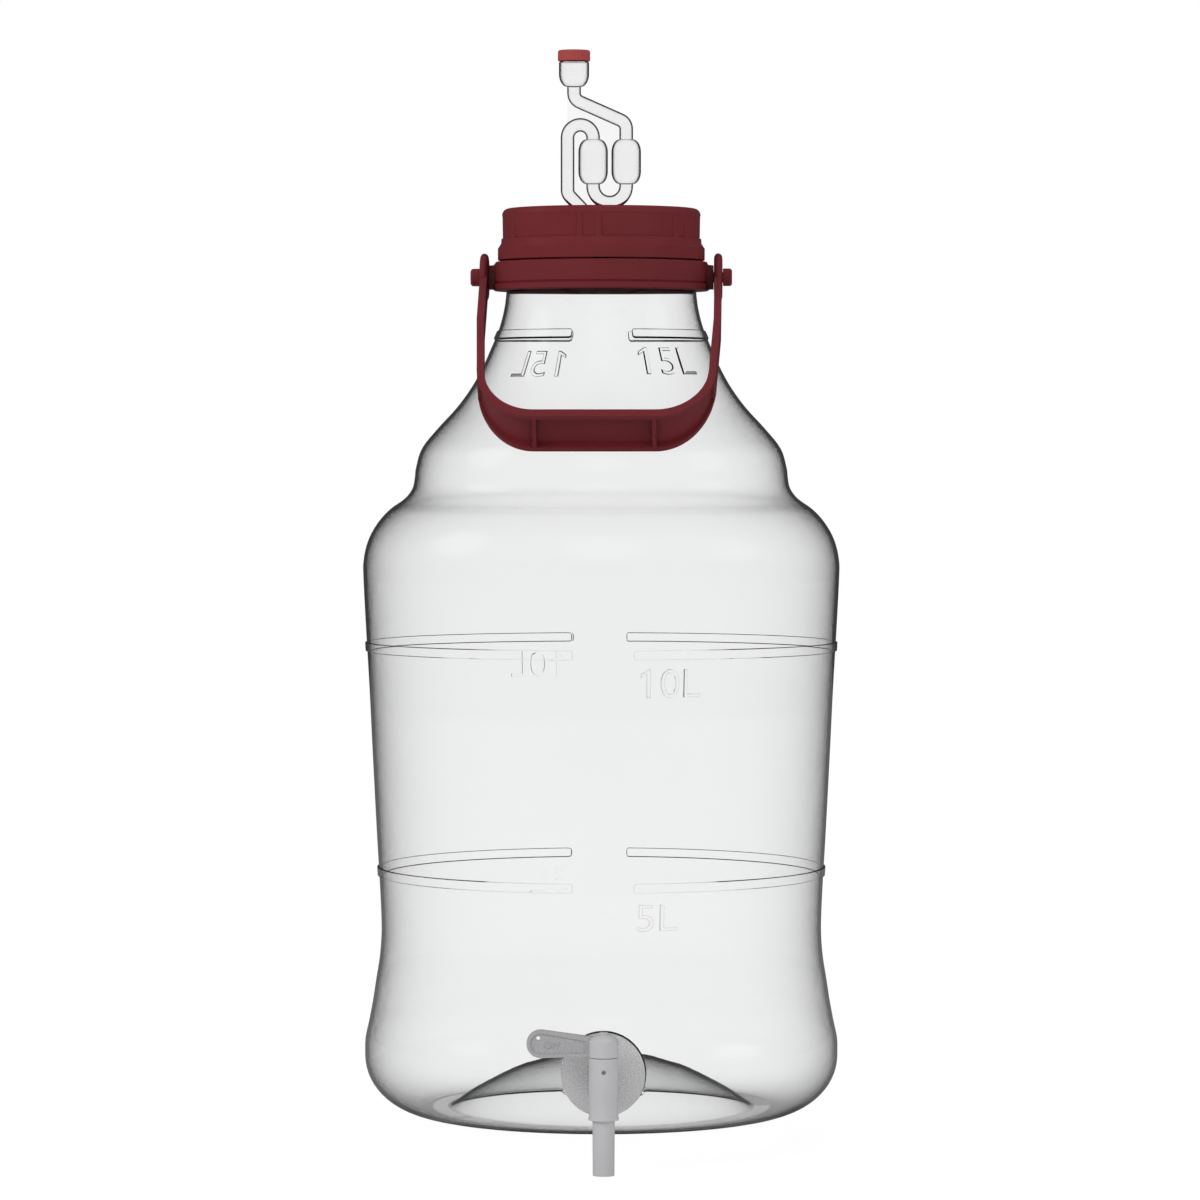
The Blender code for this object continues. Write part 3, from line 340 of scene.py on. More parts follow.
PIN_Z = NECK_Z + PIN_RISE
ARM_X = COLLAR_R + BOSS_OUT + GAP + EYE_PROUD
PAD_BACK = PAD_FACE - PAD_WALL
FLANGE_BACK = PAD_FACE + GAP + WASHER_T + GAP
FLANGE_FACE = FLANGE_BACK + FLANGE_T
TAP_REACH = FLANGE_FACE + TAP_NECK + BARREL_R
NUT_FACE = PAD_BACK - GAP - WASHER_T - GAP
BARREL_BOTTOM_Z = TAP_Z - BARREL_BELOW
BARREL_TOP_Z = TAP_Z + BARREL_ABOVE
CAP_BOTTOM_Z = BARREL_TOP_Z + GAP
PLUG_TOP_RING_Z = BARREL_TOP_Z - RING_FROM_TOP
PLUG_LOW_RING_Z = BARREL_BOTTOM_Z + RING_FROM_BOTTOM

# Planes for flat outlines: their two numbers are X and Z, or Y and Z
FRONT_PLANE = Matrix.Rotation(radians(90), 4, "X")
SIDE_PLANE = Matrix(((0, 0, 1, 0), (1, 0, 0, 0), (0, 1, 0, 0), (0, 0, 0, 1)))

# Turns that lay a piece drawn upright along +X, -X or the front, -Y
TOWARDS_RIGHT = Matrix.Rotation(radians(90), 4, "Y")
TOWARDS_LEFT = Matrix.Rotation(radians(-90), 4, "Y")
TOWARDS_FRONT = Matrix.Rotation(radians(90), 4, "X")

# Camera, as it stood for the photo
EYE = Vector((-0.021, -2.669, 0.3628))
SENSOR_MM = 36
LENS_MM = 155.35
PITCH = radians(1.788)
YAW = radians(-0.434)
CLIP_START = 0.05
CLIP_END = 50

# Light: the level on plain surfaces, and what mirror-like rays see round the object
PLAIN_LEVEL = 0.74
STUDIO_LEVEL = 0.05
BOUNCED = 0.5

# Bright cards in mirrors: the way to each, its outer and inner angle in degrees, and its level
CARDS = (
    ((-0.85, -0.10, 0.52), 20, 6, 0.5),
    ((0.85, -0.25, 0.45), 18, 6, 0.3),
    ((0.0, -0.80, 0.60), 26, 8, 0.3),
)

# Lamps: name, place, size and power, all aimed at the bottle's axis
LAMPS = (
    ("key", (-1.9, -1.3, 1.5), 0.9, 22),
    ("fill", (1.8, -1.7, 0.9), 0.9, 9),
    ("top", (0.2, 0.3, 2.2), 0.8, 8),
)
LAMP_AIM_Z = 0.3

# Floor, with a faint shade round the object, and the stand
FLOOR_LEVEL = 0.8
FLOOR_PATCHES = 3
FLOOR_CHANGE = 0.01
FLOOR_SHADE = 0.06
FLOOR_GLOW = 1.02
SHADE_INSIDE = 0.25
SHADE_OUTSIDE = 0.7
FLOOR_IN_MIRRORS = 0.16
FLOOR_SIZE = 8
PLINTH_R = 0.095

helpers = []


def new_object(name, mesh):
    piece = bpy.data.objects.new(name, mesh)
    bpy.context.scene.collection.objects.link(piece)
    return piece


def clean(mesh):
    """Weld doubled points, join flat slivers and turn every face outwards."""
    shape = bmesh.new()
    shape.from_mesh(mesh)
    bmesh.ops.remove_doubles(shape, verts=shape.verts, dist=MERGE_DISTANCE)
    bmesh.ops.dissolve_degenerate(shape, edges=shape.edges, dist=MERGE_DISTANCE)
    bmesh.ops.recalc_face_normals(shape, faces=shape.faces)
    shape.to_mesh(mesh)
    shape.free()


def surface(name, columns, capped=False):
    """A grid of faces through columns of equally many points."""
    height = len(columns[0])
    points = [point for column in columns for point in column]
    faces = []
    for first in range(0, len(points) - height, height):
        for row in range(height - 1):
            here = first + row
            faces.append((here, here + height, here + height + 1, here + 1))
    if capped:
        faces.append(tuple(range(height - 1)))
        faces.append(tuple(range(len(points) - height, len(points) - 1)))
    mesh = bpy.data.meshes.new(name)
    mesh.from_pydata(points, [], faces)
    clean(mesh)
    return new_object(name, mesh)


def even_angles(steps):
    return [2 * pi * step / steps for step in range(steps)]


def angles_with(ends):
    """Even angles, with angles of the piece's own in place of those close to them."""
    even = [
        angle for angle in even_angles(ROUND_STEPS)
        if min(abs(angle - end) for end in ends) > ANGLE_SPACING
    ]
    return sorted(even + ends)


def lathe(name, profile_at, angles, closed=False, place=None):
    """A round body whose outline of (radius, height) points may change with the angle."""
    columns = []
    for angle in angles:
        column = [(radius * sin(angle), -radius * cos(angle), z) for radius, z in profile_at(angle)]
        if closed:
            column.append(column[0])
        columns.append(column)
    columns.append(columns[0])
    piece = surface(name, columns)
    if place is not None:
        piece.matrix_world = place
    return piece


def turned(name, outline, steps=ROUND_STEPS, closed=False, place=None):
    return lathe(name, lambda angle: outline, even_angles(steps), closed, place)


def rod(name, radius, centre, length, turn=None, steps=SMALL_ROUND_STEPS):
    """A round bar centred on a point, along Z unless turned."""
    outline = [(0, length / 2), (radius, length / 2), (radius, -length / 2), (0, -length / 2)]
    place = Matrix.Translation(Vector(centre))
    if turn is not None:
        place = place @ turn
    return turned(name, outline, steps, place=place)


def plate(name, outline, thickness, plane):
    """A flat outline in a plane, thickened half to each side."""
    half = thickness / 2
    points = [(across, up, half) for across, up in outline]
    points += [(across, up, -half) for across, up in outline]
    count = len(outline)
    faces = [tuple(range(count)), tuple(range(2 * count - 1, count - 1, -1))]
    for here in range(count):
        after = (here + 1) % count
        faces.append((here, here + count, after + count, after))
    mesh = bpy.data.meshes.new(name)
    mesh.from_pydata(points, [], faces)
    clean(mesh)
    piece = new_object(name, mesh)
    piece.matrix_world = plane
    return piece


def tube(name, stations):
    """A round tube in the plane y = 0 through stations of (x, z, radius)."""
    columns = []
    last = len(stations) - 1
    for i, (x, z, radius) in enumerate(stations):
        before = stations[max(i - 1, 0)]
        after = stations[min(i + 1, last)]
        way = Vector((after[0] - before[0], after[1] - before[1])).normalized()
        column = []
        for step in range(TUBE_STEPS + 1):
            angle = 2 * pi * step / TUBE_STEPS
            out = radius * cos(angle)
            column.append((x - way.y * out, radius * sin(angle), z + way.x * out))
        columns.append(column)
    return surface(name, columns, capped=True)


def combine(piece, helper, operation):
    change = piece.modifiers.new(helper.name, "BOOLEAN")
    change.solver = "EXACT"
    change.operation = operation
    change.object = helper
    helpers.append(helper)


def join(piece, helper):
    combine(piece, helper, "UNION")


def cut(piece, helper):
    combine(piece, helper, "DIFFERENCE")


def merge(piece, helper):
    """Put the faces of a helper that stands apart into a piece."""
    shape = bmesh.new()
    shape.from_mesh(piece.data)
    shape.from_mesh(helper.data)
    shape.to_mesh(piece.data)
    shape.free()
    bpy.data.objects.remove(helper, do_unlink=True)


def settled(piece):
    """The mesh a piece has after its modifiers."""
    bpy.context.view_layer.update()
    graph = bpy.context.evaluated_depsgraph_get()
    return bpy.data.meshes.new_from_object(piece.evaluated_get(graph))


def finish(piece, material, edge=0.0, place=HOME):
    """Settle a piece's cuts, put it in the model's frame, and give it edges, shading and a material."""
    mesh = settled(piece)
    mesh.transform(place @ piece.matrix_world)
    clean(mesh)
    piece.modifiers.clear()
    piece.data = mesh
    piece.matrix_world = Matrix.Identity(4)
    mesh.shade_smooth()
    mesh.set_sharp_from_angle(angle=SHARP_ANGLE)
    mesh.materials.clear()
    mesh.materials.append(material)
    if edge:
        bevel = piece.modifiers.new("edges", "BEVEL")
        bevel.width = edge
        bevel.segments = EDGE_SEGMENTS
        bevel.limit_method = "ANGLE"
        bevel.angle_limit = SHARP_ANGLE
        normals = piece.modifiers.new("flats", "WEIGHTED_NORMAL")
        normals.keep_sharp = True
    return piece


def repaint(piece, material, belongs):
    """Give a second material to the faces whose middle belongs to a part of the piece."""
    piece.data.materials.append(material)
    index = len(piece.data.materials) - 1
    for face in piece.data.polygons:
        if belongs(face.center):
            face.material_index = index
    return piece


def show(piece, body, slot, *nodes):
    """Carry a piece with a body, in place of the nodes it stands for."""
    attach(piece, body)
    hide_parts(*nodes)


# Materials

def add_node(tree, kind, values, output=0, **settings):
    """Add a shader node, fill its sockets with values or links, and give one of its outputs."""
    node = tree.nodes.new("ShaderNode" + kind)
    for setting, choice in settings.items():
        setattr(node, setting, choice)
    for socket, value in values.items():
        if isinstance(value, bpy.types.NodeSocket):
            tree.links.new(value, node.inputs[socket])
        else:
            node.inputs[socket].default_value = value
    return node.outputs[output]


def value_node(tree, operation, first, second):
    return add_node(tree, "Math", {0: first, 1: second}, operation=operation)


def noise(tree, place, scale, detail=2.0):
    return add_node(tree, "TexNoise", {"Scale": scale, "Detail": detail, "Vector": place}, "Fac")


def mapped(tree, value, start, end, low, high, kind="LINEAR"):
    """A value between start and end mapped to between low and high."""
    values = {"Value": value, "From Min": start, "From Max": end, "To Min": low, "To Max": high}
    return add_node(tree, "MapRange", values, "Result", interpolation_type=kind)


def mottled(tree, value, colour, change):
    """A colour that a noise value makes a little darker or lighter."""
    ramp = tree.nodes.new("ShaderNodeValToRGB")
    low, high = ramp.color_ramp.elements
    low.position, high.position = NOISE_RANGE
    low.color = (*[part * (1 - change) for part in colour], 1)
    high.color = (*[part * (1 + change) for part in colour], 1)
    tree.links.new(value, ramp.inputs["Fac"])
    return ramp.outputs["Color"]


def new_material(name):
    material = bpy.data.materials.new(name)
    material.use_nodes = True
    tree = material.node_tree
    place = tree.nodes.new("ShaderNodeTexCoord").outputs["Object"]
    return material, tree, tree.nodes["Principled BSDF"], place


def add_bump(tree, shader, height, distance):
    bump = add_node(tree, "Bump", {"Distance": distance, "Height": height}, "Normal")
    tree.links.new(bump, shader.inputs["Normal"])


def plastic(name, colour, roughness, shine=0.3, change=0.04, patches=35, grain=FINE_GRAIN):
    """Moulded plastic or rubber with a slow change of shade and a fine grain."""
    material, tree, shader, place = new_material(name)
    shader.inputs["Specular IOR Level"].default_value = shine
    shade = mottled(tree, noise(tree, place, patches), colour, change)
    tree.links.new(shade, shader.inputs["Base Color"])
    gloss = noise(tree, place, GLOSS_PATCHES)
    rough = mapped(tree, gloss, *NOISE_RANGE, roughness - GLOSS_CHANGE, roughness + GLOSS_CHANGE)
    tree.links.new(rough, shader.inputs["Roughness"])
    scale, depth = grain
    add_bump(tree, shader, noise(tree, place, scale, 3.0), depth)
    return material


def painted_rim_shade(tree, colour, rim):
    """Painted shade: a colour that falls to a share of itself where the surface is seen edge on."""
    facing = add_node(tree, "LayerWeight", {"Blend": RIM_BLEND}, "Facing")
    share = mapped(tree, facing, *RIM_RANGE, 1, rim)
    return add_node(tree, "VectorMath", {0: colour, "Scale": share}, operation="SCALE")


def clear(name, colour, waves=BOTTLE_WAVES, rim=1):
    """Clear moulded plastic, faintly uneven, and with a rim under 1 painting shade on it where it is seen
    edge on.
    """
    material, tree, shader, place = new_material(name)
    shader.inputs["Transmission Weight"].default_value = 1
    shader.inputs["IOR"].default_value = CLEAR_IOR
    shader.inputs["Roughness"].default_value = 0
    tint = mottled(tree, noise(tree, place, CLEAR_PATCHES), colour, CLEAR_CHANGE)
    if rim < 1:
        tint = painted_rim_shade(tree, tint, rim)
    tree.links.new(tint, shader.inputs["Base Color"])
    scale, depth = waves
    add_bump(tree, shader, noise(tree, place, scale, 1.0), depth)
    return material


CLEAR_PET = clear("clear_pet_bottle", (0.985, 0.988, 0.988))
# Dark and mid-dark tints of clear plastic for the bottle's band and figure edges: painted shade standing
# in for the dark lines that bent light draws there
DARK_EDGE_PAINTED_SHADE = clear("dark_painted_edge_shade", (0.03, 0.03, 0.03))
MIDDLE_EDGE_PAINTED_SHADE = clear("middle_painted_edge_shade", (0.10, 0.10, 0.10))
# The airlock's plastic falls to 0.05 of its tint where seen edge on: painted shade for the dark outlines
# of its tubes and chambers
CLEAR_ACRYLIC = clear("clear_acrylic_airlock", (0.99, 0.99, 0.99), AIRLOCK_WAVES, 0.05)
LID_RED = plastic("lid_red", (0.148, 0.0165, 0.0205), 0.38)
COLLAR_RED = plastic("collar_red", (0.146, 0.0165, 0.0215), 0.40)
HANDLE_RED = plastic("handle_red", (0.138, 0.0155, 0.0205), 0.42)
CAP_RED = plastic("cap_red", (0.350, 0.057, 0.056), 0.40)
TAP_GREY = plastic("tap_grey", (0.480, 0.480, 0.490), 0.42, 0.5)
LEVER_GREY = plastic("lever_grey", (0.362, 0.362, 0.370), 0.5, 0.5, 0.22, SPECKLES, SPECKLED_GRAIN)
# The flange's speckle is its own; its grey is lighter than the tap's as painted light against the shade it
# gets between the bottle and the barrel
FLANGE_GREY_PAINTED_LIGHT = plastic("flange_grey_painted_light", (0.560, 0.560, 0.570), 0.5, 0.5, 0.25, SPECKLES, SPECKLED_GRAIN)
RUBBER = plastic("rubber_black", (0.02, 0.02, 0.021), 0.7, 0.5, 0.15)
FOAM = plastic("foam_white", (0.8, 0.8, 0.78), 0.8, 0.5, 0.05, grain=FOAM_GRAIN)


# Outlines

def arc(centre, radii, first, last, steps):
    """Points of an elliptical arc between two angles in degrees, both ends included."""
    points = []
    for step in range(steps + 1):
        angle = radians(first + (last - first) * step / steps)
        points.append((centre[0] + radii[0] * cos(angle), centre[1] + radii[1] * sin(angle)))
    return points


def run(start, end, shares):
    """Points from start to end, each at its share of the change in radius and in height."""
    points = []
    for radius_share, height_share in shares:
        radius = start[0] + radius_share * (end[0] - start[0])
        height = start[1] + height_share * (end[1] - start[1])
        points.append((radius, height))
    return points + [end]


def smooth_rise(points):
    """Points of a smooth curve through points of rising height."""
    last = len(points) - 1
    slopes = [0]
    for i in range(1, last + 1):
        before = points[i - 1]
        after = points[min(i + 1, last)]
        slopes.append((after[0] - before[0]) / (after[1] - before[1]))
    result = []
    for i in range(last):
        (r0, z0), (r1, z1) = points[i], points[i + 1]
        rise = z1 - z0
        for step in range(CURVE_STEPS):
            t = step / CURVE_STEPS
            radius = r0 * (1 + 2 * t) * (1 - t) ** 2 + r1 * t * t * (3 - 2 * t)
            radius += rise * (slopes[i] * t * (1 - t) ** 2 + slopes[i + 1] * t * t * (t - 1))
            result.append((radius, z0 + t * rise))
    result.append(points[-1])
    return result


def inset(points, depth):
    """An outline that runs up its outer side, moved inwards by depth."""
    moved = []
    for i, (radius, height) in enumerate(points):
        before = points[max(i - 1, 0)]
        after = points[min(i + 1, len(points) - 1)]
        along_r = after[0] - before[0]
        along_z = after[1] - before[1]
        length = hypot(along_r, along_z)
        moved.append((radius - depth * along_z / length, height + depth * along_r / length))
    return moved


def body_side():
    """The bottle's outside from its standing ring up to the neck."""
    heel_top = (HEEL_R, HEEL_RISE + HEEL_LAND)
    waist = (WAIST_R, WAIST_Z)
    shoulder = (SHOULDER_R, SHOULDER_Z)
    step = (STEP_R, STEP_Z)
    neck = (NECK_R, NECK_Z)
    knots = [heel_top] + run(heel_top, waist, HEEL_TO_WAIST_SHARES)
    knots += run(waist, shoulder, WAIST_TO_SHOULDER_SHARES)
    knots += run(shoulder, step, SHOULDER_TO_STEP_SHARES)
    knots += run(step, neck, STEP_TO_NECK_SHARES)
    heel = arc((FOOT_OUTER_R, HEEL_RISE), (HEEL_R - FOOT_OUTER_R, HEEL_RISE), -90, 0, DOME_STEPS)
    return heel + smooth_rise(knots)


BODY_SIDE = body_side()


def skin_radius(height):
    """The outside radius of the body at a height."""
    for (low_r, low_z), (high_r, high_z) in zip(BODY_SIDE, BODY_SIDE[1:]):
        if low_z <= height <= high_z:
            return low_r + (high_r - low_r) * (height - low_z) / (high_z - low_z)
    return NECK_R


# Bottle

def punt():
    """The domed base under the bottle, from its middle out to the standing ring."""
    half = 2 * atan2(PUNT_RISE, FOOT_INNER_R)
    dome_r = FOOT_INNER_R / sin(half) - FOOT_ROUND
    dome = arc((0, PUNT_RISE - dome_r), (dome_r, dome_r), 90, 90 - degrees(half), PUNT_STEPS)
    corner_middle = (FOOT_INNER_R, FOOT_ROUND)
    corner = arc(corner_middle, (FOOT_ROUND, FOOT_ROUND), 270 - degrees(half), 270, PUNT_CORNER_STEPS)
    return dome + corner[1:]


def band_start(height):
    """The angle from the front at which a band begins."""
    return asin(BAND_BREAK / 2 / skin_radius(height))


def band_shape(along):
    """Half height and share of the rise of a band at a distance in from its rounded end."""
    inside = max(0, min(along, BAND_END_R))
    half = BAND_H / 2 - BAND_END_R + sqrt(BAND_END_R ** 2 - (BAND_END_R - inside) ** 2)
    return half, max(0, min(1, along / BAND_CHAMFER))


def band_rows(height, angle):
    """Points up a band's section at an angle, flat with the skin in its breaks."""
    from_front = abs((angle + pi / 2) % pi - pi / 2)
    half, share = band_shape((from_front - band_start(height)) * skin_radius(height))
    number = BAND_HEIGHTS.index(height)
    top_proud = BAND_TOP_PROUD[number]
    low = height - half
    high = height + half
    low_top = low + BAND_LOW_CHAMFER[number]
    high_top = high - BAND_CHAMFER
    return [
        (skin_radius(low), low), (skin_radius(low_top) + share * BAND_PROUD, low_top),
        (skin_radius(high_top) + share * top_proud, high_top), (skin_radius(high), high),
    ]


def bottle_profile(angle):
    outline = punt()
    reach = BAND_H / 2 + BAND_MARGIN
    waiting = list(BAND_HEIGHTS)
    for radius, height in BODY_SIDE:
        if waiting and height > waiting[0] - reach:
            band = waiting.pop(0)
            outline.append((skin_radius(band - reach), band - reach))
            outline += band_rows(band, angle)
            outline.append((skin_radius(band + reach), band + reach))
        if height > outline[-1][1] or height < HEEL_RISE:
            outline.append((radius, height))
    return outline + FINISH_SIDE


def finish_side():
    """From the neck up over the threads and across the rim."""
    points = [
        (NECK_R, BEAD_Z), (BEAD_R, BEAD_Z), (BEAD_R, BEAD_TOP_Z), (FINISH_R, BEAD_TOP_Z),
    ]
    for ridge in range(THREAD_COUNT - 1, -1, -1):
        top = RIM_Z - THREAD_TOP - ridge * THREAD_PITCH
        points.append((FINISH_R, top - THREAD_H))
        points.append((FINISH_R + THREAD_PROUD, top - THREAD_H / 2))
        points.append((FINISH_R, top))
    return points + [(FINISH_R, RIM_Z), (0, RIM_Z)]


FINISH_SIDE = finish_side()


def cavity():
    """The bottle's inside, from above the rim down to the base."""
    bore_r = FINISH_R - WALL
    inside = inset(punt() + BODY_SIDE[1:], WALL)
    inside[0] = (0, PUNT_RISE + WALL)
    return [(0, RIM_Z + OVERRUN), (bore_r, RIM_Z + OVERRUN), (bore_r, BEAD_Z)] + inside[::-1]


def bottle_angles():
    """Even angles, with closer ones at the ends of the bands."""
    ends = []
    for height in BAND_HEIGHTS:
        radius = skin_radius(height)
        rounding = (BAND_END_R * BAND_END_MIDDLE_SHARE, BAND_END_R)
        for along in (0, BAND_CHAMFER / 2, BAND_CHAMFER, *rounding):
            turn = band_start(height) + along / radius
            ends += [turn, 2 * pi - turn, pi - turn, pi + turn]
    return angles_with(ends)


def raised(name, curve, chamfer):
    """A flat curve as a solid with chamfers, LETTER_DEPTH chamfers deep to each side between them."""
    curve.extrude = LETTER_DEPTH * chamfer
    curve.bevel_depth = chamfer
    curve.bevel_resolution = 0
    curve.offset = -chamfer
    guide = new_object(name, curve)
    mesh = settled(guide)
    bpy.data.objects.remove(guide, do_unlink=True)
    clean(mesh)
    return new_object(name, mesh)


def letters(name, text, height, chamfer):
    """Letters lying in the XY plane."""
    curve = bpy.data.curves.new(name, "FONT")
    curve.body = text
    curve.size = height / CAP_SHARE
    curve.resolution_u = LETTER_STEPS
    return raised(name, curve, chamfer)


def flagged_one(name, height, chamfer):
    """A figure 1 with a flag, one step before the letters that follow it."""
    curve = bpy.data.curves.new(name, "CURVE")
    curve.dimensions = "2D"
    curve.fill_mode = "BOTH"
    spline = curve.splines.new("POLY")
    spline.points.add(len(ONE_SHAPE) - 1)
    size = height / CAP_SHARE
    for point, (x, y) in zip(spline.points, ONE_SHAPE):
        point.co = ((x - ONE_ADVANCE) * size, y * size, 0, 1)
    spline.use_cyclic_u = True
    return raised(name, curve, chamfer)


def laid_out(piece, box):
    """The vertices of some letters, each with the place it gets when they fill a box."""
    left, right, low, high = box
    across = [vertex.co.x for vertex in piece.data.vertices]
    up = [vertex.co.y for vertex in piece.data.vertices]
    x_low, x_high, y_low, y_high = min(across), max(across), min(up), max(up)
    for vertex in piece.data.vertices:
        x = left + (right - left) * (vertex.co.x - x_low) / (x_high - x_low)
        y = low + (high - low) * (vertex.co.y - y_low) / (y_high - y_low)
        yield vertex, x, y


def lift_of(vertex, chamfer):
    """1 on a letter's face, 0 at the foot of its chamfer and below that -1 at its root."""
    level = (vertex.co.z - LETTER_DEPTH * chamfer) / chamfer
    return level if level > 0 else level / (2 * LETTER_DEPTH)


def figure(name, text, box, proud, turn):
    """Raised figures wrapped on the bottle in a box of two angles and two heights."""
    height = box[3] - box[2]
    piece = letters(name, text.lstrip("1"), height, FIGURE_CHAMFER)
    if text.startswith("1"):
        merge(piece, flagged_one(name + "_one", height, FIGURE_CHAMFER))
    for vertex, angle, z in laid_out(piece, box):
        lift = lift_of(vertex, FIGURE_CHAMFER)
        radius = skin_radius(z) + lift * (proud if lift > 0 else FIGURE_ROOT)
        vertex.co = (radius * sin(turn + angle), -radius * cos(turn + angle), z)
    clean(piece.data)
    return piece


def off_skin(point):
    """A point's turn from the front, its height, and how far out it is from the bottle's skin."""
    x, y, z = point.x, point.y - AXIS_Y, point.z - BASE_Z
    return atan2(x, -y), z, hypot(x, y) - skin_radius(z)


def on_figure_edge(middle):
    """Whether a face's middle lies on the sloping edge of one of the top figures."""
    turn, z, out = off_skin(middle)
    left, right, low, high = FIGURES[-1][1]
    beside = left - FIGURE_MARGIN < turn % pi < right + FIGURE_MARGIN
    foot, top = FIGURE_EDGE_SHARES
    return beside and low < z < high and foot < out / FIGURE_PROUD < top


def on_band_edge(middle, number, low, high):
    """Whether a face's middle lies on a band's sloping edges, between two heights up it."""
    _, z, out = off_skin(middle)
    foot, top = BAND_EDGE_SHARES
    return low < z - BAND_HEIGHTS[number] < high and foot < out / BAND_PROUD < top


def gets_dark_painted_shade(middle):
    """Whether a face gets dark painted shade: the foot of the top band, or an edge of the far side's other
    bands.
    """
    half = BAND_H / 2
    if on_band_edge(middle, 0, -half, half) or on_band_edge(middle, 1, -half, half):
        return middle.y > AXIS_Y
    return on_band_edge(middle, 2, -half, BAND_LOW_CHAMFER[2] - half)


def gets_middle_painted_shade(middle):
    """Whether a face gets the lighter painted shade: an edge of the top figures, or of the top band's
    upper half.
    """
    return on_figure_edge(middle) or on_band_edge(middle, 2, 0, BAND_H / 2)


def build_bottle():
    bottle = lathe("bottle_shell", bottle_profile, bottle_angles())
    for text, box, far_proud in FIGURES:
        join(bottle, figure(f"figures_{text}_front", text, box, FIGURE_PROUD, 0))
        join(bottle, figure(f"figures_{text}_back", text, box, far_proud, pi))
    pad_middle = (0, -(PAD_FACE + FOOT_OUTER_R) / 2, TAP_Z)
    pad_length = PAD_FACE - FOOT_OUTER_R
    join(bottle, rod("tap_pad", PAD_R, pad_middle, pad_length, TOWARDS_FRONT, ROUND_STEPS))
    cut(bottle, turned("bottle_inside", cavity()))
    recess_middle = (0, -(PAD_BACK + FOOT_INNER_R) / 2, TAP_Z)
    recess_length = PAD_BACK - FOOT_INNER_R
    recess_r = PAD_R - PAD_RIM
    cut(bottle, rod("pad_recess", recess_r, recess_middle, recess_length, TOWARDS_FRONT, ROUND_STEPS))
    hole_length = 2 * (PAD_WALL + OVERRUN)
    cut(bottle, rod("tap_hole", SHANK_R + GAP, (0, -PAD_FACE, TAP_Z), hole_length, TOWARDS_FRONT))
    finish(bottle, CLEAR_PET)
    # The bands' and top figures' sloping edges get the tinted plastics: painted shade, darkest at the top
    # band's foot and on the lower bands' far half
    repaint(bottle, MIDDLE_EDGE_PAINTED_SHADE, gets_middle_painted_shade)
    return repaint(bottle, DARK_EDGE_PAINTED_SHADE, gets_dark_painted_shade)


# Collar and handle

def build_collar():
    inner_r = NECK_R + GAP
    rebate_r = BEAD_R + GAP
    rebate_z = BEAD_Z - GAP
    lip_r = COLLAR_R + COLLAR_LIP
    lip_z = NECK_Z + COLLAR_LIP_H
    outline = [
        (COLLAR_R - COLLAR_EDGE, COLLAR_TOP_Z), (COLLAR_R, COLLAR_TOP_Z - COLLAR_EDGE),
        (COLLAR_R, lip_z + 2 * COLLAR_LIP), (COLLAR_R - COLLAR_GROOVE, lip_z + COLLAR_LIP),
        (lip_r, lip_z), (lip_r, NECK_Z + COLLAR_EDGE), (lip_r - COLLAR_EDGE, NECK_Z),
        (inner_r, NECK_Z), (inner_r, rebate_z), (rebate_r, rebate_z), (rebate_r, COLLAR_TOP_Z),
    ]
    collar = turned("collar_shell", outline, closed=True)
    boss_end = COLLAR_R + BOSS_OUT
    head_in = ARM_X + ARM_T + EYE_PROUD + GAP
    head_out = head_in + PIN_HEAD_T
    root = COLLAR_R - COLLAR_WALL / 2
    pin_outline = [
        (0, head_out), (PIN_HEAD_R - PIN_HEAD_EDGE, head_out),
        (PIN_HEAD_R, head_out - PIN_HEAD_EDGE), (PIN_HEAD_R, head_in), (PIN_R, head_in),
        (PIN_R, boss_end), (BOSS_R, boss_end), (BOSS_ROOT_R, root), (0, root),
    ]
    lug_top = COLLAR_TOP_Z - 2 * COLLAR_EDGE
    lug_low = PIN_Z - BOSS_R
    lug = [
        (root, lug_top), (COLLAR_R, lug_top), (boss_end, PIN_Z + LUG_TOP), (boss_end, lug_low),
        (root, lug_low),
    ]
    for side, turn, sign in (("right", TOWARDS_RIGHT, 1), ("left", TOWARDS_LEFT, -1)):
        place = Matrix.Translation((0, 0, PIN_Z)) @ turn
        join(collar, turned("pin_" + side, pin_outline, SMALL_ROUND_STEPS, place=place))
        side_lug = [(sign * x, z) for x, z in lug][::sign]
        join(collar, plate("lug_" + side, side_lug, 2 * BOSS_R, FRONT_PLANE))
    return finish(collar, COLLAR_RED, FINE_EDGE, HOME @ Matrix.Rotation(COLLAR_YAW, 4, "Z"))


def grip_side(extra, depth, bend_r):
    """Half of a U-shaped line: down the +X arm, round the corner to the flat of the grip."""
    arm = ARM_X + extra
    reach = GRIP_REACH + depth
    flat = GRIP_FLAT / 2
    across = arm - ARM_LEAN - flat
    corner = arc((flat, -(reach - bend_r)), (across, bend_r), 0, -90, BEND_STEPS)
    return [(arm, 0), (arm, -LEAN_FROM)] + corner


def taper_sides(wall):
    """What lies beside the handle's tapered sides, drawn in by a wall, on both sides."""
    full = GRIP_W / 2 - wall
    slim = ARM_W / 2 - wall
    low = GRIP_REACH + GRIP_DEPTH
    slope_run = TAPER_LENGTH * OVERRUN / (full - slim)
    side = [
        (slim, OVERRUN), (slim, TAPER_LENGTH - low), (full, -low),
        (full + OVERRUN, -low - slope_run), (full + wall + 2 * OVERRUN, -low),
        (full + wall + 2 * OVERRUN, OVERRUN),
    ]
    return side, [(-y, z) for y, z in side[::-1]]


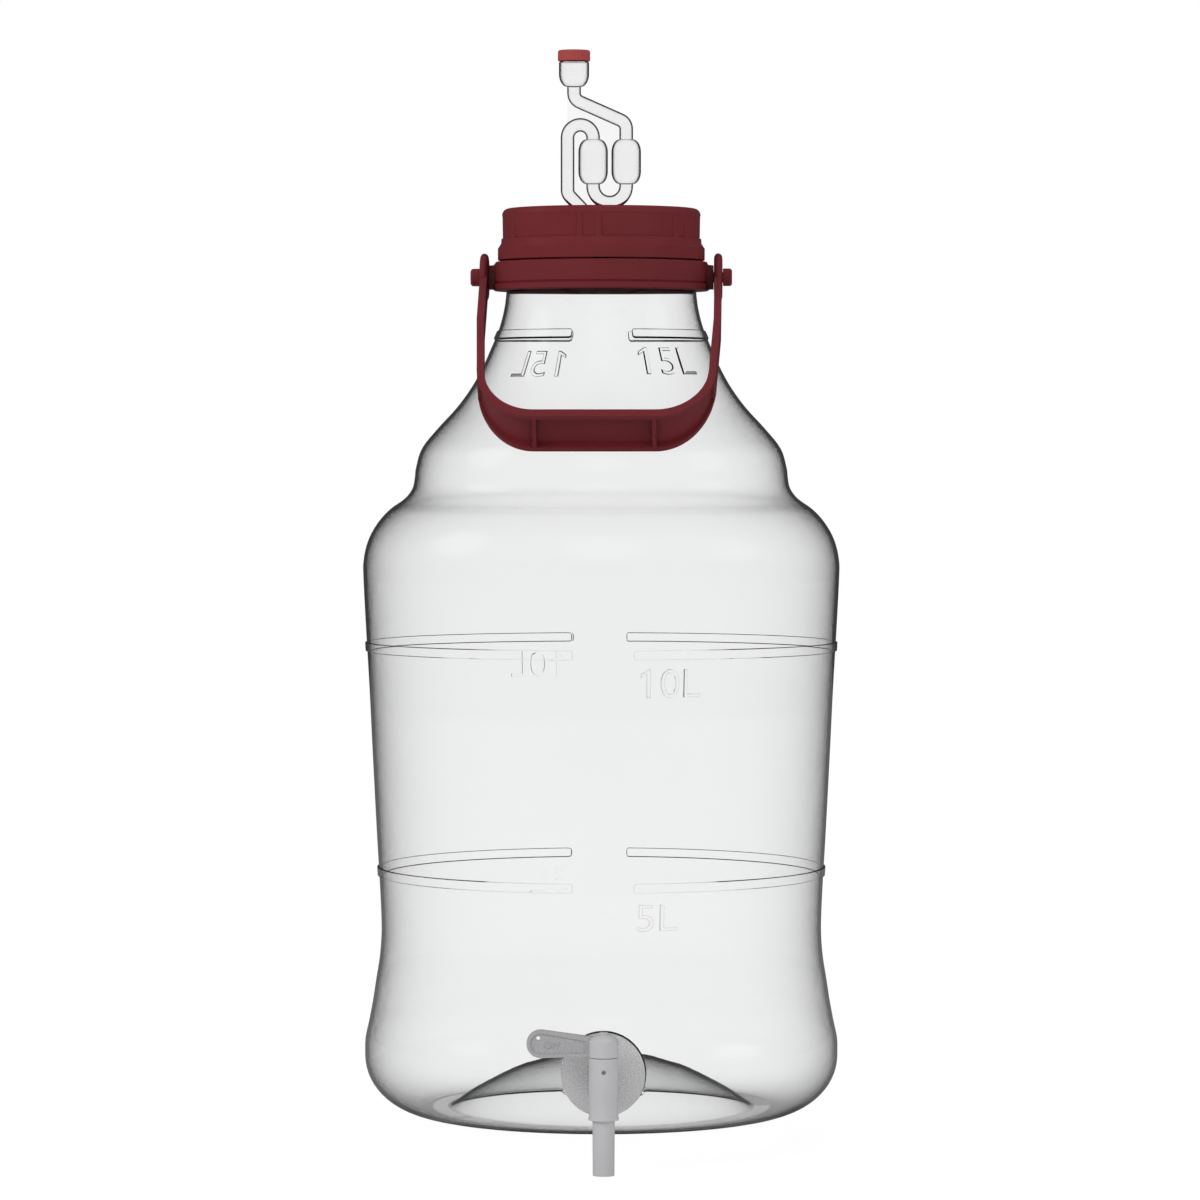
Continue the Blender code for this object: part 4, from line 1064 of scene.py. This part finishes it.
def build_handle():
    """Drawn hanging straight down from the pins' axis, then swung to where it rests."""
    right = grip_side(ARM_T, GRIP_DEPTH, OUTER_BEND)
    inner_right = grip_side(0, 0, INNER_BEND)
    left = [(-x, z) for x, z in right[::-1]]
    inner_left = [(-x, z) for x, z in inner_right]
    outline = right + left + inner_left + inner_right[::-1]
    handle = plate("handle_loop", outline, GRIP_W, FRONT_PLANE)

    # Narrow the arms from the grip upwards
    far_x = ARM_X + ARM_T + OVERRUN
    for side in taper_sides(0):
        cut(handle, plate("arm_taper", side, 2 * far_x, SIDE_PLANE))

    # Hollow the grip from outside, with two cross ribs left standing
    channel_top = CHANNEL_RUN - GRIP_REACH
    far_z = -(GRIP_REACH + GRIP_DEPTH + OVERRUN)
    floor = grip_side(GRIP_WALL, GRIP_WALL, INNER_BEND + GRIP_WALL)
    floor = [(x, z) for x, z in floor if z < channel_top]
    floor.insert(0, (floor[0][0], channel_top))
    channel = floor + [(-x, z) for x, z in floor[::-1]]
    channel += [(-far_x, channel_top), (-far_x, far_z), (far_x, far_z), (far_x, channel_top)]
    hollow = plate("grip_channel", channel, GRIP_W - 2 * GRIP_WALL, FRONT_PLANE)
    rib_low = -(GRIP_REACH + GRIP_DEPTH + OVERRUN)
    rib_high = OVERRUN - GRIP_REACH
    rib_x = GRIP_FLAT / 2 - GRIP_RIB_INSET
    for side_name, x in (("left", -rib_x), ("right", rib_x)):
        x_low = x - GRIP_RIB_T / 2
        x_high = x + GRIP_RIB_T / 2
        rib = [(x_low, rib_low), (x_high, rib_low), (x_high, rib_high), (x_low, rib_high)]
        cut(hollow, plate("grip_rib_" + side_name, rib, GRIP_W, FRONT_PLANE))
    for side in taper_sides(GRIP_WALL):
        cut(hollow, plate("channel_taper", side, 2 * far_x, SIDE_PLANE))
    cut(handle, hollow)

    # An eye at the top of each arm, with its hole for the pin
    eye_half = ARM_T / 2 + EYE_PROUD
    eye_edge = arc((EYE_R - EYE_EDGE, 0), (EYE_EDGE, eye_half), 90, -90, EDGE_STEPS)
    eye = [(0, eye_half)] + eye_edge + [(0, -eye_half)]
    for side_name, sign in (("right", 1), ("left", -1)):
        place = Matrix.Translation((sign * (ARM_X + ARM_T / 2), 0, 0)) @ TOWARDS_RIGHT
        join(handle, turned("eye_" + side_name, eye, SMALL_ROUND_STEPS, place=place))
    cut(handle, rod("pin_holes", PIN_R + GAP, (0, 0, 0), 2 * far_x, TOWARDS_RIGHT))
    swing = Matrix.Rotation(COLLAR_YAW, 4, "Z") @ Matrix.Rotation(-HANDLE_REST, 4, "X")
    place = HOME @ Matrix.Translation((0, 0, PIN_Z)) @ swing
    return finish(handle, HANDLE_RED, SOFT_EDGE, place)


# Lid

def rib_turns():
    turns = []
    for group in range(LID_RIB_GROUPS):
        for side in (-1, 1):
            turn = LID_RIB_TURN + side * LID_RIB_HALF_PITCH + group * 2 * pi / LID_RIB_GROUPS
            turns.append(turn % (2 * pi))
    return turns


def lid_angles():
    """Even angles, with closer ones at the ribs' edges."""
    edges = []
    for turn in rib_turns():
        for off in (LID_RIB_W / 2, LID_RIB_W / 2 + LID_RIB_SLOPE):
            edges += [(turn + off / LID_OUTER_R) % (2 * pi), (turn - off / LID_OUTER_R) % (2 * pi)]
    return angles_with(edges)


def panel_share(angle):
    """0 on a rib of the lid's side and 1 on the panels between the ribs."""
    away = min(abs((angle - turn + pi) % (2 * pi) - pi) for turn in rib_turns()) * LID_OUTER_R
    return max(0, min(1, (away - LID_RIB_W / 2) / LID_RIB_SLOPE))


def lid_profile(angle):
    skirt_r = LID_OUTER_R + LID_SKIRT_OUT
    top_r = LID_OUTER_R - LID_DRAFT
    flare_z = LID_BOTTOM_Z + LID_SKIRT_H
    straight_z = flare_z + LID_FLARE_H
    floor_low_z = WELL_FLOOR_Z - WELL_FLOOR_T
    panel_high = LID_TOP_Z - PANEL_DROP
    panel_low = panel_high - PANEL_H
    sunk = PANEL_DEPTH * panel_share(angle)
    sunk_top = PANEL_TOP_DEPTH * panel_share(angle)

    def wall(z):
        return LID_OUTER_R - LID_DRAFT * (z - straight_z) / (LID_TOP_Z - LID_EDGE_R - straight_z)

    well_edge_middle = (WELL_R + WELL_EDGE, LID_TOP_Z - WELL_EDGE)
    well_edge = arc(well_edge_middle, (WELL_EDGE, WELL_EDGE), 180, 90, SMALL_EDGE_STEPS)
    edge_middle = (top_r - LID_EDGE_R, LID_TOP_Z - LID_EDGE_R)
    edge = arc(edge_middle, (LID_EDGE_R, LID_EDGE_R), 90, 0, EDGE_STEPS)
    outline = well_edge + edge + [
        (wall(panel_high), panel_high), (wall(panel_high) - sunk_top, panel_high - PANEL_EDGE),
        (wall(panel_low) - sunk, panel_low + PANEL_EDGE), (wall(panel_low), panel_low),
        (LID_OUTER_R, straight_z), (skirt_r, flare_z), (skirt_r, LID_BOTTOM_Z + FINE_EDGE),
        (skirt_r - FINE_EDGE, LID_BOTTOM_Z), (skirt_r - LID_WALL, LID_BOTTOM_Z),
        (skirt_r - LID_WALL, flare_z), (LID_INNER_R, straight_z), (LID_INNER_R, LID_CEILING_Z),
        (WELL_R + WELL_WALL, LID_CEILING_Z), (WELL_R + WELL_WALL, floor_low_z),
        (GROMMET_HOLE_R, floor_low_z), (GROMMET_HOLE_R, WELL_FLOOR_Z), (WELL_R, WELL_FLOOR_Z),
    ]
    return outline


def build_lid():
    return finish(lathe("lid_shell", lid_profile, lid_angles(), closed=True), LID_RED)


# Airlock

def bend(before, corner, after, radius, steps):
    """Points of the arc that rounds a corner of a route in the x-z plane."""
    corner = Vector(corner)
    back = (Vector(before) - corner).normalized()
    ahead = (Vector(after) - corner).normalized()
    opening = acos(max(-1, min(1, back.dot(ahead))))
    tangent = radius / tan(opening / 2)
    centre = corner + (back + ahead).normalized() * (radius / sin(opening / 2))
    start = corner + back * tangent - centre
    end = corner + ahead * tangent - centre
    first = atan2(start.y, start.x)
    sweep = atan2(end.y, end.x) - first
    if sweep > pi:
        sweep -= 2 * pi
    if sweep < -pi:
        sweep += 2 * pi
    points = []
    for step in range(steps + 1):
        angle = first + sweep * step / steps
        points.append((centre.x + radius * cos(angle), centre.y + radius * sin(angle)))
    return points


def vessel_end(x, z, way, radius, tube_r):
    """Stations that widen a vertical tube into a vessel, going up or down from z."""
    stations = []
    for step in range(VESSEL_STEPS + 1):
        angle = radians(90) * step / VESSEL_STEPS
        along = VESSEL_ROUND * (1 - cos(angle))
        stations.append((x, z + way * along, tube_r + (radius - tube_r) * sin(angle)))
    return stations


def vessel(x, start, end, radius, tube_r):
    """Stations of a round-ended chamber on a vertical run of tube from start to end."""
    way = 1 if end > start else -1
    first = vessel_end(x, start, way, radius, tube_r)
    last = vessel_end(x, end, -way, radius, tube_r)
    return first + last[::-1]


def airlock_route(shrink, overrun):
    """The airlock's centre line from the cup's mouth to the stem's tip, as (x, z, radius)."""
    tube_r = TUBE_R - shrink
    stem_z = WELL_FLOOR_Z + STEM_RISE
    leg_z = stem_z + LEG_RISE
    chamber_x = LEG_OFFSET - 2 * LOOP_R
    far_x = 2 * RETURN_R - chamber_x
    return_z = leg_z - RETURN_DROP
    chamber_low = return_z + RETURN_R + CHAMBER_ABOVE_RETURN
    chamber_high = chamber_low + CHAMBER_H
    loop_z = chamber_high + LOOP_ABOVE_CHAMBER + LOOP_R
    cross_low = chamber_high + CROSS_RISE
    cross_high = cross_low + CROSS_CLIMB
    cup_low = cross_high + CUP_ABOVE_CROSS
    cup_high = cup_low + CUP_H
    mouth = (-CUP_OFFSET, cup_high)
    top_turn = (-CUP_OFFSET, cross_high)
    right_turn = (far_x, cross_low)
    return_right = (far_x, return_z)
    return_left = (-chamber_x, return_z)
    loop_right = (-chamber_x, loop_z)
    loop_left = (-LEG_OFFSET, loop_z)
    leg_turn = (-LEG_OFFSET, leg_z)
    stem_turn = (0, stem_z)
    tip = (0, stem_z - STEM_LENGTH)

    def plain(points):
        return [(x, z, tube_r) for x, z in points]

    rim_z = cup_high - CAP_H + CAP_T
    rim_r = CUP_R - CUP_RIM_IN - shrink
    cup_r = CUP_R - shrink
    route = [(-CUP_OFFSET, cup_high + overrun, rim_r), (-CUP_OFFSET, rim_z, rim_r)]
    route.append((-CUP_OFFSET, rim_z - CUP_RIM_IN, cup_r))
    route += vessel_end(-CUP_OFFSET, cup_low, 1, cup_r, tube_r)[::-1]
    route += plain(bend(mouth, top_turn, right_turn, TUBE_BEND_R, CORNER_STEPS))
    route += plain(bend(top_turn, right_turn, return_right, TUBE_BEND_R, CORNER_STEPS))
    route += vessel(far_x, chamber_high, chamber_low, CHAMBER_R - shrink, tube_r)
    route += plain(bend(right_turn, return_right, return_left, RETURN_R, RETURN_STEPS))
    route += plain(bend(return_right, return_left, loop_right, RETURN_R, RETURN_STEPS))[1:]
    route += vessel(-chamber_x, chamber_low, chamber_high, CHAMBER_R - shrink, tube_r)
    route += plain(bend(return_left, loop_right, loop_left, LOOP_R, RETURN_STEPS))
    route += plain(bend(loop_right, loop_left, leg_turn, LOOP_R, RETURN_STEPS))[1:]
    route += plain(bend(loop_left, leg_turn, stem_turn, TUBE_BEND_R, CORNER_STEPS))
    route += plain(bend(leg_turn, stem_turn, tip, TUBE_BEND_R, CORNER_STEPS))
    route.append((tip[0], tip[1] - overrun, tube_r))
    corners = {
        "cup": (-CUP_OFFSET - TUBE_R, cup_low), "loop": (-LEG_OFFSET, loop_z - LOOP_R),
        "leg": leg_turn, "stem": stem_turn, "return": (RETURN_R - chamber_x, return_z),
        "far": (far_x, return_z + RETURN_R), "right": right_turn, "top": top_turn,
        "mouth": mouth,
    }
    return route, corners


def build_airlock():
    route, corners = airlock_route(0, 0)
    airlock = tube("airlock_tube", route)
    names = ("cup", "loop", "leg", "stem", "return", "far", "right", "top")
    join(airlock, plate("airlock_web", [corners[name] for name in names], WEB_T, FRONT_PLANE))
    hollow, _ = airlock_route(TUBE_WALL, OVERRUN)
    cut(airlock, tube("airlock_bore", hollow))
    return finish(airlock, CLEAR_ACRYLIC)


def build_airlock_cap():
    _, corners = airlock_route(0, 0)
    x, cup_high = corners["mouth"]
    under = cup_high + GAP
    top = under + CAP_T
    bottom = top - CAP_H
    inner = CAP_R - CAP_WALL

    def profile(angle):
        outer = CAP_R - CAP_RIB_DEPTH * (1 - cos(CAP_RIBS * angle)) / 2
        return [
            (0, top), (CAP_R - CAP_EDGE, top), (outer, top - CAP_EDGE), (outer, bottom + FINE_EDGE),
            (outer - FINE_EDGE, bottom), (inner, bottom), (inner, under), (0, under),
        ]

    angles = even_angles(CAP_RIBS * CAP_RIB_STEPS)
    cap = lathe("airlock_cap_shell", profile, angles, place=Matrix.Translation((x, 0, 0)))
    return finish(cap, CAP_RED)


# Tap

def build_tap_body():
    """Shank, flange and neck turned about the line to the front, joined to an upright barrel."""
    shank_end = NUT_FACE - NUT_T - SHANK_END
    neck_end = TAP_REACH - BARREL_R / 4
    outline = [
        (0, neck_end), (TAP_NECK_R, neck_end), (TAP_NECK_R, FLANGE_FACE),
        (FLANGE_R, FLANGE_FACE), (FLANGE_R, FLANGE_BACK), (SHANK_R, FLANGE_BACK),
        (SHANK_R, shank_end), (SHANK_BORE_R, shank_end), (SHANK_BORE_R, FLANGE_BACK),
        (0, FLANGE_BACK),
    ]
    at_tap = Matrix.Translation((0, 0, TAP_Z)) @ TOWARDS_FRONT
    body = turned("tap_body_shell", outline, place=at_tap)
    lip_r = BARREL_R + BARREL_LIP
    lip_z = BARREL_BOTTOM_Z + BARREL_LIP_H
    barrel_outline = [
        (0, BARREL_TOP_Z), (BARREL_R, BARREL_TOP_Z), (BARREL_R, lip_z + BARREL_LIP),
        (lip_r, lip_z), (lip_r, BARREL_BOTTOM_Z), (0, BARREL_BOTTOM_Z),
    ]
    at_barrel = Matrix.Translation((0, -TAP_REACH, 0))
    join(body, turned("barrel", barrel_outline, SMALL_ROUND_STEPS, place=at_barrel))
    bore_h = BARREL_TOP_Z - BARREL_BOTTOM_Z + 2 * OVERRUN
    bore_middle = (0, -TAP_REACH, (BARREL_TOP_Z + BARREL_BOTTOM_Z) / 2)
    port_back = FLANGE_BACK - OVERRUN
    port_middle = (0, -(TAP_REACH + port_back) / 2, TAP_Z)
    port_length = TAP_REACH - port_back
    cut(body, rod("barrel_bore", PLUG_R + GAP, bore_middle, bore_h))
    cut(body, rod("barrel_port", PORT_R, port_middle, port_length, TOWARDS_FRONT))
    dimple_middle = (0, -TAP_REACH - BARREL_R, TAP_Z + DIMPLE_RISE)
    cut(body, rod("dimple", DIMPLE_R, dimple_middle, 2 * DIMPLE_DEPTH, TOWARDS_FRONT))
    finish(body, TAP_GREY, FINE_EDGE)

    # Flange faces take the lighter grey: painted light against the shade between the bottle and the barrel
    def on_flange(middle):
        along = AXIS_Y - middle.y
        off_axis = hypot(middle.x, middle.z - BASE_Z - TAP_Z)
        return FLANGE_BACK - FINE_EDGE < along < FLANGE_FACE + FINE_EDGE and off_axis > SHANK_R

    return repaint(body, FLANGE_GREY_PAINTED_LIGHT, on_flange)


def lever_outline(margin):
    """The lever seen from the front, drawn in by a margin; its root is inside the cap."""
    end_r = LEVER_END_R - margin
    end_z = CAP_BOTTOM_Z + LEVER_END_R - GAP
    root_x = -LEVER_ROOT_IN if not margin else -BARREL_R - margin
    root_high = CAP_BOTTOM_Z + LEVER_ROOT_H - margin
    root_low = CAP_BOTTOM_Z + GAP + margin
    rise = LEVER_END_R - LEVER_ROOT_H / 2
    tilt = degrees(atan2(rise, LEVER_REACH))
    end = arc((-LEVER_REACH, end_z), (end_r, end_r), 90 - 2 * tilt, 270, BEND_STEPS)
    return [(root_x, root_high)] + end + [(root_x, root_low)]


def ring_groove(z):
    """A groove for a sealing ring, going down the plug's side."""
    floor = PLUG_R - RING_GROOVE_DEPTH
    half = RING_GROOVE_H / 2
    return [(PLUG_R, z + half), (floor, z + half), (floor, z - half), (PLUG_R, z - half)]


def lever_word():
    """Raised word on the lever's front."""
    text, box = LEVER_WORD
    piece = letters("lever_word", text, box[3] - box[2], LEVER_WORD_CHAMFER)
    floor = LEVER_T / 2 - LEVER_RECESS
    for vertex, x, z in laid_out(piece, box):
        vertex.co = (x, -floor - lift_of(vertex, LEVER_WORD_CHAMFER) * LEVER_WORD_PROUD, z)
    clean(piece.data)
    return piece


def build_tap_valve():
    """Cap, plug and spout in one turned piece, with the lever joined to the cap."""
    dome_z = CAP_BOTTOM_Z + CAP_STRAIGHT
    cap_top = dome_z + CAP_DOME
    dome = arc((0, dome_z), (BARREL_R, CAP_DOME), 90, 0, DOME_STEPS)
    dome = [point for point in dome if point[0] > PIP_R]
    bore_top = TAP_Z + PLUG_BORE_ABOVE
    outline = [(0, cap_top + PIP_H), (PIP_R, cap_top + PIP_H), (PIP_R, cap_top - FINE_EDGE)] + dome
    outline += [(BARREL_R, CAP_BOTTOM_Z), (PLUG_R, CAP_BOTTOM_Z)]
    outline += ring_groove(PLUG_TOP_RING_Z) + ring_groove(PLUG_LOW_RING_Z)
    outline += [
        (PLUG_R, BARREL_BOTTOM_Z), (SPOUT_TIP_R, -SPOUT_DROP), (SPOUT_BORE_R, -SPOUT_DROP),
        (SPOUT_BORE_R, BARREL_BOTTOM_Z - OVERRUN), (PLUG_BORE_R, BARREL_BOTTOM_Z),
        (PLUG_BORE_R, bore_top), (0, bore_top),
    ]
    valve = turned("tap_valve_shell", outline, SMALL_ROUND_STEPS)
    lever = plate("lever", lever_outline(0), LEVER_T, FRONT_PLANE)
    face = LEVER_T / 2
    for side, sign in (("front", -1), ("back", 1)):
        recess = plate("lever_recess_" + side, lever_outline(LEVER_RIM), 2 * LEVER_RECESS, FRONT_PLANE)
        recess.matrix_world = Matrix.Translation((0, sign * face, 0)) @ recess.matrix_world
        cut(lever, recess)
    hole_z = CAP_BOTTOM_Z + LEVER_END_R + LEVER_HOLE_RISE
    hole = (-(LEVER_REACH + LEVER_HOLE_OUT), 0, hole_z)
    cut(lever, rod("lever_hole", LEVER_HOLE_R, hole, LEVER_T + 2 * OVERRUN, TOWARDS_FRONT))
    join(lever, lever_word())
    join(valve, lever)
    port_middle = (0, PLUG_R / 2, TAP_Z)
    cut(valve, rod("plug_port", PORT_R, port_middle, PLUG_R + OVERRUN, TOWARDS_FRONT))
    finish(valve, TAP_GREY, FINE_EDGE, HOME @ Matrix.Translation((0, -TAP_REACH, 0)))
    return repaint(valve, LEVER_GREY, lambda middle: middle.x < -BARREL_R - SOFT_EDGE)


show(build_bottle(), "container", "clear_pet", "bottle")
show(build_tap_body(), "container", "grey_plastic", "tap_body")
show(build_collar(), "collar", "dark_red_plastic", "handle_collar")
show(build_handle(), "handle", "dark_red_plastic", "handle")
show(build_lid(), "lid", "dark_red_plastic", "lid")
show(build_airlock(), "airlock", "clear_acrylic", "airlock")
show(build_airlock_cap(), "airlock_cap", "bright_red_plastic", "airlock_cap")
show(build_tap_valve(), "tap_valve", "grey_plastic", "tap_valve")
for helper in helpers:
    bpy.data.objects.remove(helper, do_unlink=True)

# Pieces shown as the frame has them
KEPT = {
    "lid_gasket": (FOAM, "white_foam"),
    "airlock_grommet": (RUBBER, "black_rubber"),
    "tap_oring_upper": (RUBBER, "black_rubber"),
    "tap_oring_lower": (RUBBER, "black_rubber"),
    "tap_outer_gasket": (RUBBER, "black_rubber"),
    "tap_inner_gasket": (RUBBER, "black_rubber"),
    "tap_nut": (TAP_GREY, "grey_plastic"),
}
for node_name, (material, slot) in KEPT.items():
    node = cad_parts[node_name]
    node.data.materials.clear()
    node.data.materials.append(material)


# Light and surroundings

def ray_masks(tree):
    """1 for camera rays that met only clear plastic, and 1 for rays that a mirror-like surface sent on."""
    path = tree.nodes.new("ShaderNodeLightPath")
    seen = value_node(tree, "MAXIMUM", path.outputs["Is Camera Ray"], path.outputs["Is Transmission Ray"])
    no_mirror = value_node(tree, "LESS_THAN", path.outputs["Glossy Depth"], BOUNCED)
    no_plain = value_node(tree, "LESS_THAN", path.outputs["Diffuse Depth"], BOUNCED)
    mirrored = value_node(tree, "GREATER_THAN", path.outputs["Glossy Depth"], BOUNCED)
    straight = value_node(tree, "MULTIPLY", seen, value_node(tree, "MULTIPLY", no_mirror, no_plain))
    return straight, value_node(tree, "MULTIPLY", mirrored, no_plain)


def build_world():
    world = bpy.data.worlds.new("studio")
    bpy.context.scene.world = world
    world.use_nodes = True
    tree = world.node_tree
    way = tree.nodes.new("ShaderNodeTexCoord").outputs["Generated"]
    studio = STUDIO_LEVEL
    for towards, outer, inner, level in CARDS:
        ways = {0: way, 1: Vector(towards).normalized()}
        facing = add_node(tree, "VectorMath", ways, "Value", operation="DOT_PRODUCT")
        card = mapped(tree, facing, cos(radians(outer)), cos(radians(inner)), 0, level, "SMOOTHSTEP")
        studio = value_node(tree, "ADD", card, studio)
    straight, mirror = ray_masks(tree)
    rest = value_node(tree, "SUBTRACT", value_node(tree, "SUBTRACT", 1.0, straight), mirror)
    shared = value_node(tree, "MULTIPLY", rest, PLAIN_LEVEL)
    mirrored = value_node(tree, "MULTIPLY", mirror, studio)
    level = value_node(tree, "ADD", straight, value_node(tree, "ADD", mirrored, shared))
    tree.links.new(level, tree.nodes["Background"].inputs["Strength"])
    tree.nodes["Background"].inputs["Color"].default_value = (1, 1, 1, 1)


def floor_material():
    """White to the camera, with a faint shadow, plain to soft light and darker in mirrors."""
    material, tree, shader, place = new_material("floor_white")
    tree.nodes.remove(shader)

    def diffuse(level):
        colour = mottled(tree, noise(tree, place, FLOOR_PATCHES), (level, level, level), FLOOR_CHANGE)
        return add_node(tree, "BsdfDiffuse", {"Color": colour})

    distance = add_node(tree, "VectorMath", {0: place}, "Value", operation="LENGTH")
    share = mapped(tree, distance, SHADE_OUTSIDE, SHADE_INSIDE, 0, 1, "SMOOTHSTEP")
    lost = value_node(tree, "MULTIPLY", share, FLOOR_SHADE)
    glow = add_node(tree, "Emission", {"Strength": value_node(tree, "SUBTRACT", FLOOR_GLOW, lost)})
    grey = add_node(tree, "CombineColor", {0: lost, 1: lost, 2: lost})
    lit = add_node(tree, "BsdfDiffuse", {"Color": grey})
    white = add_node(tree, "AddShader", {0: glow, 1: lit})
    straight, mirror = ray_masks(tree)
    dim = add_node(tree, "MixShader", {0: mirror, 1: diffuse(FLOOR_LEVEL), 2: diffuse(FLOOR_IN_MIRRORS)})
    whole = add_node(tree, "MixShader", {0: straight, 1: dim, 2: white})
    tree.links.new(whole, tree.nodes["Material Output"].inputs["Surface"])
    return material


def build_floor():
    """A wide floor and a low round stand under the bottle's standing ring."""
    half = FLOOR_SIZE / 2
    mesh = bpy.data.meshes.new("floor")
    corners = [(-half, -half, 0), (half, -half, 0), (half, half, 0), (-half, half, 0)]
    mesh.from_pydata(corners, [], [(0, 1, 2, 3)])
    floor = new_object("floor", mesh)
    stand_outline = [
        (0, BASE_Z), (PLINTH_R - FINE_EDGE, BASE_Z), (PLINTH_R, BASE_Z - FINE_EDGE), (PLINTH_R, 0),
    ]
    stand = turned("stand", stand_outline, place=Matrix.Translation((0, AXIS_Y, 0)))
    material = floor_material()
    for piece in (floor, stand):
        piece.data.materials.append(material)


def lamp(name, place, size, power):
    data = bpy.data.lights.new(name, "AREA")
    data.shape = "DISK"
    data.size = size
    data.energy = power
    light = bpy.data.objects.new(name, data)
    light.location = place
    aim = Vector((0, AXIS_Y, LAMP_AIM_Z))
    light.rotation_euler = (aim - Vector(place)).to_track_quat("-Z", "Y").to_euler()
    light.visible_camera = False
    light.visible_transmission = False
    light.visible_glossy = False
    bpy.context.scene.collection.objects.link(light)


build_world()
build_floor()
for lamp_name, lamp_place, lamp_size, lamp_power in LAMPS:
    lamp(lamp_name, lamp_place, lamp_size, lamp_power)

camera_data = bpy.data.cameras.new("camera")
camera_data.sensor_width = SENSOR_MM
camera_data.lens = LENS_MM
camera_data.clip_start = CLIP_START
camera_data.clip_end = CLIP_END
camera = bpy.data.objects.new("camera", camera_data)
camera.location = EYE
camera.rotation_euler = Euler((pi / 2 - PITCH, 0, YAW))
bpy.context.scene.collection.objects.link(camera)
bpy.context.scene.camera = camera
bpy.context.scene.view_settings.view_transform = "Standard"
